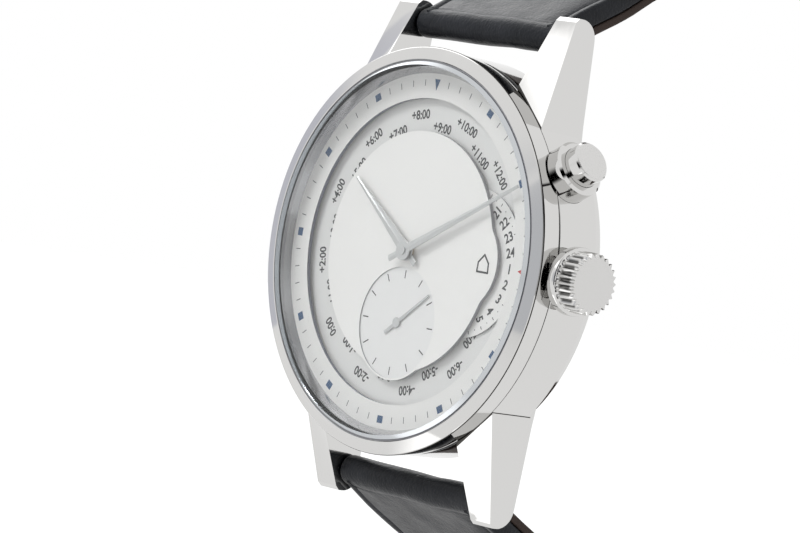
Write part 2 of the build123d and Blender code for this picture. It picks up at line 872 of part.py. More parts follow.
def case_clamps():
    """The small clamps over the movement ring's edge."""
    shapes = []
    for turn in clamp_turns:
        far = clamp_radius + clamp_width / 2
        clamp = block(-clamp_width / 2, clamp_width / 2, far - clamp_length, far,
                      bridge_low - clamp_height, bridge_low)
        clamp &= rod(back_thread_radius - back_wall - slide_gap, 0, case_height)
        clamp -= rod(screw_radius + seat_gap, 0, case_height, 0, clamp_radius)
        shapes.append(Rot(0, 0, -turn) * clamp)
    return group(shapes)


def clamp_screws():
    """The screws of the case clamps."""
    head_top = bridge_low - clamp_height - screw_head_height
    return group(
        screw(*polar(clamp_radius, turn), head_top, bridge_low + screw_length / 2) for turn in clamp_turns)


def ratchet_module():
    """The ratchet wheel's and the upper crown wheel's module, from their distance and teeth."""
    x, y = train_places()[0]
    return 2 * hypot(x - crown_wheel_x, y) / (ratchet_teeth + crown_wheel_teeth)


def ratchet_wheel():
    """The ratchet wheel and the barrel arbor that it winds."""
    place = train_places()[0]
    outline = wheel(ratchet_teeth, ratchet_module(), bearing(place, (crown_wheel_x, 0)))
    shape = flat(outline, ratchet_low, ratchet_thickness, *place)
    return shape + rod(barrel_arbor_radius, ratchet_low, plate_low + wheel_thickness, *place)


def crown_wheel():
    """The crown wheel: a lower wheel driven by the winding pinion, and an upper one on the ratchet."""
    place = train_places()[0]
    turn = bearing((crown_wheel_x, 0), place) + 180 / crown_wheel_teeth
    shape = flat(wheel(crown_wheel_teeth, ratchet_module(), turn), ratchet_low, ratchet_thickness)
    shape += rod(crown_wheel_arbor, ratchet_low, crown_wheel_low)
    shape += rod(crown_wheel_low_radius, crown_wheel_low, crown_wheel_low + crown_wheel_depth)
    return Pos(crown_wheel_x, 0, 0) * shape


def winding_pinion():
    """The winding pinion, which turns with the stem and lets it slide."""
    outline = tooth_outline(winding_teeth, winding_pinion_radius * winding_root_share,
                            winding_pinion_radius)
    outline -= Circle(stem_radius + running_gap)
    return crown_frame() * flat(outline, winding_pinion_x, winding_pinion_length)


def winding_stem():
    """The winding stem, from the pinion out to the crown."""
    end = crown_back + crown_cavity_depth
    return crown_frame() * rod(stem_radius, winding_pinion_x + crown_pull / 4, end)


def rotor():
    """The winding rotor: a half ring weight on a thin plate, hanging below its bearing."""
    half = Pos(0, -rotor_radius / 2) * Rectangle(2 * rotor_radius, rotor_radius)
    plate = (Circle(rotor_radius) & half) + Circle(rotor_boss_radius) - Circle(rotor_bore)
    hub_share, rim_share, width_share = rotor_cut_shares
    plate -= (Circle(rotor_weight_bore * rim_share) - Circle(rotor_boss_radius * hub_share)) & (
        Pos(0, -rotor_radius / 2 - rotor_boss_radius) * Rectangle(rotor_radius * width_share, rotor_radius))
    weight = (Circle(rotor_radius) - Circle(rotor_weight_bore)) & half
    shape = flat(plate, rotor_plate_low, rotor_plate_top - rotor_plate_low)
    shape += flat(weight, rotor_low, rotor_plate_low - rotor_low)
    boss = Circle(rotor_boss_radius) - Circle(rotor_bore)
    return shape + flat(boss, hub_cap_top + running_gap, rotor_plate_low - hub_cap_top - running_gap)


def rotor_hub():
    """The rotor's bearing post, screwed to the three quarter plate."""
    slot = Pos(0, 0, hub_cap_low) * Box(hub_cap_radius * 3, screw_slot * 2, screw_slot)
    post = rod(hub_post_radius, hub_cap_low, bridge_low) + rod(hub_cap_radius, hub_cap_low, hub_cap_top)
    return post + rod(hub_flange_radius, rotor_plate_top + running_gap, bridge_low) - slot


def case_back():
    """The screwed case back ring with its key slots and window."""
    thread = back_thread_radius - seat_gap
    seat = case_bottom - seat_gap
    body = turned(
        (back_window, 0), (back_face_radius, 0), (back_shoulder_radius, back_shoulder_height),
        (back_flange_radius, seat - case_edge), (back_flange_radius - case_edge, seat), (thread, seat),
        (thread, case_bottom + back_thread_length - seat_gap),
        (thread - back_wall, case_bottom + back_thread_length - seat_gap), (thread - back_wall, back_floor),
        (back_crystal_radius + seat_gap, back_floor), (back_crystal_radius + seat_gap, back_crystal_low),
        (back_window, back_crystal_low),
    )
    gasket_bore = thread + case_edge
    body -= ring(gasket_bore + back_gasket_width, gasket_bore, seat - back_gasket_depth, case_height)
    for index in range(key_slots):
        slot = block(-key_slot_width / 2, key_slot_width / 2, key_slot_radius, case_bottom_radius,
                     -overrun, key_slot_depth)
        body -= Rot(0, 0, index * 360 / key_slots + key_slot_turn) * slot
    return body


def back_crystal():
    """The stepped sapphire window of the case back, its outer face level with the ring's."""
    step = rod(back_window - seat_gap, 0, back_crystal_low)
    return step + rod(back_crystal_radius, back_crystal_low, back_crystal_low + back_crystal_thickness)


def back_gasket():
    """The rubber ring in the case back's groove."""
    low = case_bottom - seat_gap - back_gasket_depth
    bore = back_thread_radius - seat_gap + case_edge
    return ring(bore + back_gasket_width - seat_gap, bore + seat_gap, low + seat_gap, case_bottom - seat_gap)


def crown():
    """The fluted crown: a plain flange, rounded flutes and a flat face."""
    body_start = crown_back + crown_flange_length
    shape = turned_about(
        crown_frame(),
        (0, crown_back), (crown_flange_radius - case_edge, crown_back),
        (crown_flange_radius, crown_back + case_edge), (crown_flange_radius, body_start - case_edge),
        (crown_flange_radius - case_edge, body_start), (crown_radius, body_start),
        (crown_radius, crown_face - case_edge), (crown_radius - case_edge, crown_face), (0, crown_face),
    )
    cavity = rod(crown_cavity_radius, crown_back - overrun, crown_back + crown_cavity_depth)
    shape -= crown_frame() * cavity
    flute_x = crown_radius + crown_flute_radius * crown_flute_share
    flute = rod(crown_flute_radius, body_start, crown_face + overrun, flute_x)
    for index in range(crown_flutes):
        shape -= crown_frame() * Rot(0, 0, index * 360 / crown_flutes) * flute
    return shape


def crown_gasket():
    """The rubber ring inside the crown, running on the crown tube."""
    start = crown_back + crown_cavity_depth - crown_gasket_width * 4
    return crown_frame() * ring(
        crown_cavity_radius - seat_gap, tube_radius + running_gap, start - crown_gasket_width, start)


def crown_tube():
    """The tube fixed in the case that the crown turns on."""
    return crown_frame() * ring(
        tube_radius, stem_radius + running_gap, movement_bore + seat_gap, crown_tube_end)


def pusher_tube():
    """The pusher's collar, with a neck through the case wall and a turned lip."""
    bore = cap_radius + running_gap
    shape = turned_about(
        pusher_frame(),
        (pusher_stem_radius + running_gap, movement_bore + seat_gap),
        (pusher_neck_radius, movement_bore + seat_gap),
        (pusher_neck_radius, collar_start + seat_gap), (collar_radius, collar_start + seat_gap),
        (collar_radius, collar_end - collar_lip), (collar_radius - collar_lip, collar_end),
        (bore, collar_end), (bore, collar_floor), (pusher_stem_radius + running_gap, collar_floor),
    )
    return shape - rod(bezel_radius + seat_gap, case_top, case_height)


def pusher_button():
    """The pusher's button and stem, hollow round the spring."""
    round_edge = cap_wall / 2
    return turned_about(
        pusher_frame(),
        (0, pusher_stem_start), (pusher_stem_radius, pusher_stem_start),
        (pusher_stem_radius, cap_face - cap_wall * 2), (cap_radius - cap_wall, cap_face - cap_wall * 2),
        (cap_radius - cap_wall, cap_start), (cap_radius, cap_start), (cap_radius, cap_face - round_edge),
        (cap_radius - round_edge, cap_face), (0, cap_face),
    )


def pusher_spring():
    """The coil spring under the button, drawn at its pressed length."""
    wire = pusher_spring_wire
    room = cap_face - cap_wall * 2 - pusher_travel - collar_floor - seat_gap * 2 - 2 * wire
    coil = Helix(room / pusher_spring_turns, room, pusher_spring_radius)
    start = Plane(origin=coil @ 0, z_dir=coil % 0)
    spring = sweep(start * Circle(wire), path=coil)
    return pusher_frame() * Pos(0, 0, collar_floor + seat_gap + wire) * spring


def strap_station(distance, bend, start_turn, end_turn):
    """Height, reach and heading at a distance along a strap half: straight, bent inwards, then straight."""
    first, last = radians(start_turn), radians(end_turn)
    bent = bend * (first - last)
    y = min(distance, strap_lead) * sin(first)
    z = -min(distance, strap_lead) * cos(first)
    heading = first - min(max(distance - strap_lead, 0), bent) / bend
    y += bend * (cos(heading) - cos(first))
    z -= bend * (sin(first) - sin(heading))
    rest = max(distance - strap_lead - bent, 0)
    return bar_y + y + rest * sin(heading), bar_height + z - rest * cos(heading), heading


def strap_plane(distance, half):
    """The cross-section plane of a strap half at a distance; its Y axis points to the wrist."""
    if half == "upper":
        y, z, heading = strap_station(distance, upper_bend, strap_turn_upper, upper_end_turn)
    else:
        y, z, heading = strap_station(distance, lower_bend, strap_turn_lower, lower_end_turn())
    return Plane(origin=(0, y, z), x_dir=(1, 0, 0), z_dir=(0, sin(heading), -cos(heading)))


def lower_end_turn():
    """The heading at the tip of the hole half, which bends all the way."""
    return strap_turn_lower - degrees((lower_length - strap_lead) / lower_bend)


def upper_length():
    """The length of the buckle half from spring bar to buckle bar."""
    return strap_lead + upper_bend * radians(strap_turn_upper - upper_end_turn) + upper_tail


def strap_size(distance, length):
    """Width and thickness of the strap at a distance from the spring bar."""
    share = distance / length
    width = strap_width - 2 * leather_gap - share * (strap_width - strap_end_width)
    return width, strap_thick - share * (strap_thick - strap_thin)


def strap_layer(half, length, stations, lining):
    """A lofted strap layer: the lining on the wrist side, or the leather outside it."""
    sections = []
    for distance, width_share in stations:
        width, thick = strap_size(distance, length)
        seam = thick / 2 - lining_thickness
        low, high = (seam, thick / 2) if lining else (-thick / 2, seam - glue_gap)
        face = Pos(0, (low + high) / 2) * RectangleRounded(width * width_share, high - low, strap_edge_round)
        sections.append(strap_plane(distance, half) * face)
    return loft(sections)


def even_stations(start, end):
    """Evenly spaced stations of full width."""
    step = (end - start) / (strap_station_count - 1)
    return [(start + index * step, 1.0) for index in range(strap_station_count)]


def tip_stations(end):
    """Stations that narrow to the rounded tip of the hole half."""
    return [(end - tip_length + share * tip_length, width) for share, width in tip_shares]


def strap_roll(radius, bore, width, plane):
    """The rolled end of a strap round its bar."""
    shape = Pos(-width / 2, 0, 0) * Rot(0, 90, 0) * ring(radius, bore, 0, width)
    return Pos(plane.origin.X, plane.origin.Y, plane.origin.Z) * shape


def bar_bore(radius, plane):
    """The bore of a strap's rolled end."""
    reach = strap_width
    shape = Pos(-reach, 0, 0) * Rot(0, 90, 0) * rod(radius, 0, 2 * reach)
    return Pos(plane.origin.X, plane.origin.Y, plane.origin.Z) * shape


def strap_upper():
    """The outer leather of the buckle half, rolled round both bars and slotted for the tongue."""
    length = upper_length()
    layer = strap_layer("upper", length, even_stations(case_edge, length - case_edge), lining=False)
    first, last = strap_plane(0, "upper"), strap_plane(length, "upper")
    layer += strap_roll(strap_roll_radius, bar_tube_radius, strap_width - 2 * leather_gap, first)
    layer += strap_roll(buckle_roll_radius, buckle_bar_radius, strap_end_width, last)
    layer -= bar_bore(bar_tube_radius + running_gap, first)
    layer -= bar_bore(buckle_bar_radius + running_gap, last)
    slot = Pos(0, 0, -tongue_slot_length / 2 + buckle_roll_radius) * Box(
        tongue_slot, 6 * buckle_roll_radius, tongue_slot_length)
    return layer - last.location * slot


def strap_lower():
    """The outer leather of the hole half, rolled round its bar, punched, with a rounded tip."""
    stations = even_stations(case_edge, lower_length - tip_length - strap_lead / 4)
    stations += tip_stations(lower_length)
    layer = strap_layer("lower", lower_length, stations, lining=False)
    first = strap_plane(0, "lower")
    layer += strap_roll(strap_roll_radius, bar_tube_radius, strap_width - 2 * leather_gap, first)
    layer -= bar_bore(bar_tube_radius + running_gap, first)
    return mirror(layer - punches(), Plane.XZ)


def punches():
    """The row of buckle holes."""
    holes = []
    for index in range(hole_count):
        plane = strap_plane(lower_length - hole_start - index * hole_pitch, "lower")
        holes.append(plane.location * Rot(90, 0, 0) * Cylinder(hole_radius, 4 * strap_thick))
    return holes


def upper_lining():
    """The lining glued inside the buckle half."""
    length = upper_length()
    stations = even_stations(lining_start, length - tongue_slot_length - overrun)
    return strap_layer("upper", length, stations, lining=True)


def lower_lining():
    """The lining glued inside the hole half."""
    stations = even_stations(lining_start, lower_length - tip_length - strap_lead / 4)
    stations += tip_stations(lower_length - seat_gap)
    layer = strap_layer("lower", lower_length, stations, lining=True)
    return mirror(layer - punches(), Plane.XZ)


def spring_bar(side):
    """A spring bar: a tube with two thin sprung tips in the lugs."""
    half = strap_width / 2 - leather_gap
    reach = strap_width / 2 + bar_tip_length
    shape = rod(bar_tube_radius, -half, half) + rod(bar_tip_radius, -reach, reach)
    return Pos(0, side * bar_y, bar_height) * Rot(0, 90, 0) * shape


def keeper(back):
    """A leather loop round the strap with room for the free end on its outer side."""
    length = upper_length()
    width, thick = strap_size(length - back, length)
    inner_low = -thick / 2 - keeper_room
    inner_high = thick / 2 + leather_gap
    middle = (inner_low + inner_high) / 2
    inner = Pos(0, middle) * Rectangle(width + 4 * leather_gap, inner_high - inner_low)
    outer = Pos(0, middle) * RectangleRounded(width + 4 * leather_gap + 2 * keeper_wall,
                                              inner_high - inner_low + 2 * keeper_wall, keeper_wall / 2)
    shape = extrude(outer - inner, keeper_length / 2, both=True)
    return strap_plane(length - back - keeper_length / 2, "upper").location * shape


def buckle_plane():
    """The plane at the buckle bar from which the buckle hangs."""
    turn = radians(buckle_hang_turn)
    bar = strap_plane(upper_length(), "upper").origin
    return Plane(origin=bar, x_dir=(1, 0, 0), z_dir=(0, sin(turn), -cos(turn)))


def buckle_frame():
    """The buckle frame: two arms on the bar and a cross-piece."""
    outer_width = buckle_inner + 2 * buckle_arm
    outline = Pos(0, (buckle_length - buckle_eye) / 2) * RectangleRounded(
        outer_width, buckle_length + buckle_eye, buckle_eye)
    inner_end = buckle_length - buckle_cross
    outline -= Pos(0, (inner_end - overrun - buckle_eye) / 2) * Rectangle(
        buckle_inner, inner_end + overrun + buckle_eye)
    shape = extrude(outline, buckle_thickness / 2, both=True)
    hole = Rot(0, 90, 0) * rod(buckle_bar_radius + running_gap, -outer_width, outer_width)
    return buckle_plane().location * Rot(90, 0, 0) * (shape - hole)


def buckle_bar():
    """The bar that joins strap and buckle."""
    plane = strap_plane(upper_length(), "upper")
    half = buckle_inner / 2 + buckle_arm - case_edge
    return plane.location * Rot(0, 90, 0) * rod(buckle_bar_radius, -half, half)


def buckle_tongue():
    """The tongue: an eye round the bar and a pin lying on the cross-piece."""
    eye = Rot(0, 90, 0) * rod(tongue_eye_radius, -tongue_width / 2, tongue_width / 2)
    low = buckle_thickness / 2 + running_gap
    pin = block(-tongue_width / 2, tongue_width / 2, 0, buckle_length - buckle_cross / 4,
                low, low + tongue_thickness)
    hole = Rot(0, 90, 0) * rod(buckle_bar_radius + running_gap, -strap_width, strap_width)
    return buckle_plane().location * Rot(90, 0, 0) * (eye + pin - hole)


os.makedirs("parts", exist_ok=True)
PIECES = {
    "mid_case": mid_case, "bezel": bezel, "crystal": crystal, "crystal_gasket": crystal_gasket,
    "flange_ring": flange_ring, "minute_ring": minute_ring, "centre_dial": centre_dial,
    "place_ring": place_ring, "home_disc": home_disc, "home_wheel": home_wheel, "hour_wheel": hour_wheel,
    "cannon_pinion": cannon_pinion, "hour_hand": hour_hand, "minute_hand": minute_hand,
    "seconds_hand": seconds_hand, "barrel": barrel, "centre_wheel": centre_wheel, "third_wheel": third_wheel,
    "fourth_wheel": fourth_wheel, "escape_wheel": escape_wheel, "pallet_fork": pallet_fork,
    "balance_wheel": balance_wheel, "hairspring": hairspring, "balance_cock": balance_cock,
    "three_quarter_plate": bridge, "jewels": jewels, "plate_screws": plate_screws, "main_plate": main_plate,
    "dial_base": dial_base, "movement_ring": movement_ring, "case_clamps": case_clamps,
    "clamp_screws": clamp_screws, "ratchet_wheel": ratchet_wheel, "crown_wheel": crown_wheel,
    "winding_pinion": winding_pinion, "winding_stem": winding_stem, "rotor": rotor, "rotor_hub": rotor_hub,
    "case_back": case_back, "back_crystal": back_crystal, "back_gasket": back_gasket, "crown": crown,
    "crown_gasket": crown_gasket, "crown_tube": crown_tube, "pusher_tube": pusher_tube,
    "pusher_button": pusher_button, "pusher_spring": pusher_spring, "strap_upper": strap_upper,
    "strap_lower": strap_lower, "upper_lining": upper_lining, "lower_lining": lower_lining,
    "buckle_frame": buckle_frame, "buckle_bar": buckle_bar, "buckle_tongue": buckle_tongue,
}
for name, make in PIECES.items():
    save(name, make())
save("spring_bar_upper", spring_bar(1))
save("spring_bar_lower", spring_bar(-1))
save("fixed_keeper", keeper(fixed_keeper_back))
save("loose_keeper", keeper(loose_keeper_back))
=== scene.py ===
from math import atan2, cos, pi, radians, sin

import bmesh
import bpy
from mathutils import Matrix, Vector, noise


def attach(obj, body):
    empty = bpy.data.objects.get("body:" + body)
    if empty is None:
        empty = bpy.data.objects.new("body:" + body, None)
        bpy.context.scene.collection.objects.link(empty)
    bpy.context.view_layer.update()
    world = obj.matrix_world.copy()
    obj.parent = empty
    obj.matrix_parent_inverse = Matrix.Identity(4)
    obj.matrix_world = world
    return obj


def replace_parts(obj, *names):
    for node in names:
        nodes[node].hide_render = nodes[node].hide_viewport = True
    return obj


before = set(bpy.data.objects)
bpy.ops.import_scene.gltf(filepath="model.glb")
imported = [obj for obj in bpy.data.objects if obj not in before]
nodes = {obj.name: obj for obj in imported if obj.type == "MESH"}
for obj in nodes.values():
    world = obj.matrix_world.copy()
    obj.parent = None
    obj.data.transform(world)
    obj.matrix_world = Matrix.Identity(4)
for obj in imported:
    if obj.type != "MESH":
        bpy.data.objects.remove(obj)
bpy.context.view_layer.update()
MM = 0.001


# Camera
# The watch is seen from the crown's side and the dial's side at once, level with its middle,
# by a long lens that is rolled a little.
camera_data = bpy.data.cameras.new("camera")
camera_data.lens, camera_data.sensor_width = 202.5, 36
camera_data.clip_start, camera_data.clip_end = 0.05, 20
camera = bpy.data.objects.new("camera", camera_data)
bpy.context.scene.collection.objects.link(camera)

# The camera's place, and where the picture's right, lower side and depth point.
camera_place = (0.3272, -0.2975, 0.0051)
right, down, ahead = (0.6487, 0.742, 0.1691), (0.123, 0.1171, -0.9855), (-0.7511, 0.66, -0.0153)
aim = Matrix((right, -Vector(down), -Vector(ahead))).transposed().to_4x4()
camera.matrix_world = Matrix.Translation(camera_place) @ aim
bpy.context.scene.camera = camera


# Middle case and case back
# Stainless steel, turned and milled, polished to a mirror all over. The four lugs have flat faces with
# crisp edges; the case back is screwed in from behind and has six slots for a key.
class Value:
    """A number inside a shader. Python sums on it add the Math nodes."""

    def __init__(self, finish, socket):
        self.finish, self.socket = finish, socket

    def maths(self, operation, *terms):
        return self.finish.node("ShaderNodeMath", {"operation": operation}, dict(enumerate(terms)))

    def __add__(self, other):
        return self.maths("ADD", self, other)

    def __sub__(self, other):
        return self.maths("SUBTRACT", self, other)

    def __rsub__(self, other):
        return self.maths("SUBTRACT", other, self)

    def __mul__(self, other):
        return self.maths("MULTIPLY", self, other)

    def __truediv__(self, other):
        return self.maths("DIVIDE", self, other)

    def __gt__(self, other):
        return self.maths("GREATER_THAN", self, other)

    def __lt__(self, other):
        return self.maths("LESS_THAN", self, other)

    def __abs__(self):
        return self.maths("ABSOLUTE", self)

    def root(self):
        return self.maths("SQRT", self)

    __radd__, __rmul__ = __add__, __mul__


class Finish:
    """A material: one Principled shader and the nodes that lead to it."""

    def __init__(self, name, color, roughness, metallic=0.0, **sockets):
        self.material = bpy.data.materials.new(name)
        self.material.use_nodes = True
        self.tree = self.material.node_tree
        self.shader = self.tree.nodes["Principled BSDF"]
        self.set(**{"Base Color": (*color, 1), "Roughness": roughness, "Metallic": metallic}, **sockets)

    def put(self, socket, value):
        if isinstance(value, Value):
            self.tree.links.new(value.socket, socket)
        else:
            socket.default_value = value

    def set(self, **sockets):
        for name, value in sockets.items():
            self.put(self.shader.inputs[name.replace("_", " ")], value)

    def node(self, kind, settings=None, inputs=None, output=0):
        made = self.tree.nodes.new(kind)
        for name, value in (settings or {}).items():
            setattr(made, name, value)
        for name, value in (inputs or {}).items():
            self.put(made.inputs[name], value)
        return Value(self, made.outputs[output])

    def place(self):
        """The point on the piece, in millimetres of its own frame."""
        point = self.node("ShaderNodeTexCoord", output="Object")
        return self.node("ShaderNodeVectorMath", {"operation": "SCALE"}, {0: point, "Scale": 1 / MM})

    def axes(self, point):
        split = self.node("ShaderNodeSeparateXYZ", None, {0: point})
        return [Value(self, split.socket.node.outputs[i]) for i in range(3)]

    def speckle(self, point, scale, detail=2.0, **more):
        inputs = {"Vector": point, "Scale": scale, "Detail": detail, **more}
        return self.node("ShaderNodeTexNoise", None, inputs)

    def blend(self, share, first, second):
        return self.node("ShaderNodeMix", {"data_type": "RGBA"},
                         {0: share, 6: (*first, 1) if isinstance(first, tuple) else first,
                          7: (*second, 1) if isinstance(second, tuple) else second}, output=2)

    def fade(self, value, start, end, first=0.0, last=1.0):
        """Eases from a first number to a last one while a value goes from a start to an end."""
        inputs = {"Value": value, "From Min": start, "From Max": end, "To Min": first, "To Max": last}
        return self.node("ShaderNodeMapRange", {"interpolation_type": "SMOOTHSTEP"}, inputs)

    def raise_by(self, height, depth, strength=1.0):
        self.set(Normal=self.node("ShaderNodeBump", None,
                                  {"Height": height, "Distance": depth * MM, "Strength": strength}))


def wear(finish, *names):
    """Gives parts of the frame a finish."""
    for name in names:
        materials = nodes[name].data.materials
        materials.clear()
        materials.append(finish.material)


# The steel's colour, and the dark colour of the shade painted into its joints and edges.
steel_color, painted_shade = (0.66, 0.655, 0.645), (0.05, 0.048, 0.045)


def polished_steel(name, roughness=0.045):
    """Steel polished to a mirror, with the faint clouds and waves that a polishing wheel leaves."""
    finish = Finish(name, steel_color, roughness, metallic=1.0)
    point = finish.place()
    cloud = finish.speckle(point, scale=0.35, detail=3.0)
    finish.set(Roughness=cloud * 0.05 + (roughness - 0.02))
    finish.raise_by(finish.speckle(point, scale=0.22, detail=1.0), depth=0.01, strength=0.25)
    return finish


def dark_where(finish, *bands):
    """Paints shade into the metal in narrow bands, where a joint or an edge would lie in shadow."""
    total = bands[0]
    for band in bands[1:]:
        total = total.maths("MAXIMUM", total, band)
    finish.set(Base_Color=finish.blend(total, steel_color, painted_shade))


def near(value, place, half_width):
    """One where a value lies within half a width of a place."""
    return value.maths("COMPARE", value, place, half_width)


case_steel = polished_steel("case_steel")
x, y, z = case_steel.axes(case_steel.place())
# Painted shade: a dark line along the seam of case and bezel, and at the roots of the lower lugs.
rim_height, rim_radius, seam_half = 7.9, 19.3, 0.07
root_z, root_x, root_height, root_half = -13.62, 14.0, 2.9, 0.05
seam_shade = near(y, -rim_height, seam_half) * (x * x + z * z > rim_radius ** 2)
lug_root_shade = near(z, root_z, root_half) * (abs(x) > root_x) * (y < -root_height)
dark_where(case_steel, seam_shade, lug_root_shade * (y > -rim_height))
wear(case_steel, "mid_case")
wear(polished_steel("back_steel", roughness=0.06), "case_back")
wear(polished_steel("bar_steel", roughness=0.2), "spring_bar_upper", "spring_bar_lower")


# Bezel, crystal and flange
# A polished steel bezel with a nearly flat top. It holds a flat sapphire crystal in a thin nylon ring;
# below the crystal a narrow slanted flange leads down to the dial.
bezel_steel = polished_steel("bezel_steel", roughness=0.05)
x, y, z = bezel_steel.axes(bezel_steel.place())
# Painted shade on the bezel's foot where it meets the case, and a fine painted dark line close to its upper
# edge.
bezel_foot, bezel_brow, brow_half = 8.02, 10.08, 0.05
dark_where(bezel_steel, y > -bezel_foot, near(y, -bezel_brow, brow_half))
wear(bezel_steel, "bezel")


def toned(name, color, roughness, metallic=0.0, **sockets):
    """A finish whose colour and roughness vary a little, as ink, rubber or stone do."""
    finish = Finish(name, color, roughness, metallic, **sockets)
    tone = finish.speckle(finish.place(), scale=5.0, detail=3.0)
    darker, lighter = (tuple(share * part for part in color) for share in (0.86, 1.14))
    finish.set(Base_Color=finish.blend(tone, darker, lighter), Roughness=tone * 0.1 + (roughness - 0.05))
    finish.raise_by(tone, depth=0.002, strength=0.3)
    return finish


wear(toned("crystal_seal", (0.30, 0.30, 0.32), roughness=0.35), "crystal_gasket")
wear(toned("flange_metal", (0.42, 0.42, 0.435), roughness=0.12, metallic=1.0), "flange_ring")


def sapphire(name, bevel_radius):
    """Clear coated glass that bends light as its flat faces do, and is ground from a radius outwards."""
    finish = Finish(name, (1, 1, 1), roughness=0.0)
    finish.tree.nodes.remove(finish.shader)
    output = finish.tree.nodes["Material Output"]
    shadow_ray = finish.node("ShaderNodeLightPath", output="Is Shadow Ray")
    soft_ray = Value(finish, shadow_ray.socket.node.outputs["Is Diffuse Ray"])
    straight = shadow_ray.maths("MAXIMUM", shadow_ray, soft_ray)
    facing = finish.axes(finish.node("ShaderNodeNewGeometry", output="Normal"))[1] > 0.02
    flat = finish.node("ShaderNodeCombineXYZ", None, {"Y": facing * 2 - 1})
    glass = finish.node("ShaderNodeBsdfGlass", None,
                        {"Color": (0.995, 1, 0.998, 1), "Roughness": 0.0, "IOR": 1.5, "Normal": flat})
    clear = finish.node("ShaderNodeBsdfTransparent", None, {"Color": (0.97, 0.97, 0.97, 1)})
    mixed = finish.node("ShaderNodeMixShader", None, {0: straight, 1: glass, 2: clear})
    x, y, z = finish.axes(finish.place())
    ground = finish.node("ShaderNodeBsdfAnisotropic", None,
                         {"Color": (0.56, 0.58, 0.60, 1), "Roughness": 0.12})
    on_bevel = x * x + z * z > bevel_radius ** 2
    mixed = finish.node("ShaderNodeMixShader", None, {0: on_bevel, 1: mixed, 2: ground})
    finish.tree.links.new(mixed.socket, output.inputs["Surface"])
    return finish


front_bevel, back_bevel = 18.06, 13.9
wear(sapphire("front_sapphire", front_bevel), "crystal")
wear(sapphire("back_sapphire", back_bevel), "back_crystal")


# Movement
# Brass plates, rhodium plated and ribbed on the side that shows through the case back, brass wheels,
# steel screws and ruby bearings. The rotor has a heavy half ring.
brass, plated = (0.72, 0.52, 0.25), (0.66, 0.64, 0.60)


def ribbed(name, color, spacing=1.5, turn=35.0):
    """Broad shallow ribs cut across a plate."""
    finish = Finish(name, color, roughness=0.2, metallic=1.0)
    point = finish.place()
    x, y, z = finish.axes(point)
    across = x * cos(radians(turn)) + z * sin(radians(turn))
    rib = across.maths("PINGPONG", across, spacing)
    stretched = finish.node("ShaderNodeCombineXYZ", None, {0: across * 3.0, 1: y, 2: z * 0.2})
    grain = finish.speckle(stretched, scale=6.0)
    finish.set(Roughness=grain * 0.15 + 0.14)
    finish.raise_by(rib * 0.6 + grain * 0.1, depth=0.12, strength=0.8)
    return finish


def grained(name, color, roughness=0.28):
    """Fine even grain, as blasted or brushed metal has."""
    finish = Finish(name, color, roughness, metallic=1.0)
    grain = finish.speckle(finish.place(), scale=9.0, detail=4.0)
    finish.set(Roughness=grain * 0.2 + (roughness - 0.1))
    finish.raise_by(grain, depth=0.01, strength=0.5)
    return finish


wear(ribbed("ribbed_plate", plated), "three_quarter_plate")
wear(ribbed("ribbed_rotor", plated, spacing=1.1, turn=90.0), "rotor")
wear(grained("plate_brass", plated), "main_plate", "balance_cock", "movement_ring", "dial_base")
wear(grained("wheel_brass", brass, roughness=0.22), "barrel", "centre_wheel", "third_wheel", "fourth_wheel",
     "balance_wheel", "hour_wheel", "home_wheel")
wear(grained("cut_steel", (0.5, 0.5, 0.5), roughness=0.25), "escape_wheel", "pallet_fork", "ratchet_wheel",
     "crown_wheel", "winding_pinion", "winding_stem", "case_clamps", "rotor_hub", "crown_tube")
wear(grained("blued_steel", (0.02, 0.05, 0.22), roughness=0.25), "plate_screws", "clamp_screws",
     "hairspring")
wear(grained("spring_steel", (0.35, 0.35, 0.37), roughness=0.3), "pusher_spring")
wear(toned("ruby", (0.45, 0.01, 0.06), roughness=0.08, Coat_Weight=0.5), "jewels")
wear(toned("seal_rubber", (0.02, 0.02, 0.02), roughness=0.6), "back_gasket", "crown_gasket")


# Place ring
# A thin silvered ring under the dial that turns an hour at each press. It carries two rows of
# plain hour offsets, the even ones outside and the odd ones inside.
silver = (0.76, 0.755, 0.745)
print_lift = 0.008


def silvered(name, color=silver, edge=(0.30, 0.30, 0.32)):
    """Matt silvered brass with a very fine grain, with shade painted on its upright edges."""
    finish = Finish(name, color, roughness=0.42, metallic=0.25)
    point = finish.place()
    # Painted shade: faces that stand upright take the darker edge colour.
    outwards = finish.axes(finish.node("ShaderNodeNewGeometry", output="Normal"))[1]
    upright = near(outwards, 0.0, 0.6)
    finish.set(Base_Color=finish.blend(upright, color, edge))
    grain = finish.speckle(point, scale=14.0, detail=3.0)
    finish.set(Roughness=grain * 0.14 + 0.36)
    finish.raise_by(grain, depth=0.004, strength=0.5)
    return finish


def on_dial(turn, height, x=0.0, z=0.0):
    """From a flat drawing seen by the wearer to the dial: turned clockwise about a point, at a height."""
    upright = Matrix(((1, 0, 0, 0), (0, 0, -1, 0), (0, 1, 0, 0), (0, 0, 0, 1)))
    return (Matrix.Scale(MM, 4) @ Matrix.Translation((x, -height, z))
            @ Matrix.Rotation(radians(turn), 4, "Y") @ upright)


def add_text(bm, words, cap_height, x, y, matrix, squeeze=0.9):
    """Adds numerals centred on a point of a flat drawing."""
    letter_weight, cap_share = 0.026, 0.72
    curve = bpy.data.curves.new("lettering", "FONT")
    curve.body, curve.align_x, curve.align_y = words, "CENTER", "CENTER"
    curve.resolution_u, curve.offset = 3, letter_weight
    holder = bpy.data.objects.new("lettering", curve)
    mesh = bpy.data.meshes.new_from_object(holder)
    size = cap_height / cap_share
    mesh.transform(matrix @ Matrix.Translation((x, y, 0)) @ Matrix.Diagonal((size * squeeze, size, 1, 1)))
    bm.from_mesh(mesh)
    bpy.data.objects.remove(holder)
    bpy.data.curves.remove(curve)
    bpy.data.meshes.remove(mesh)


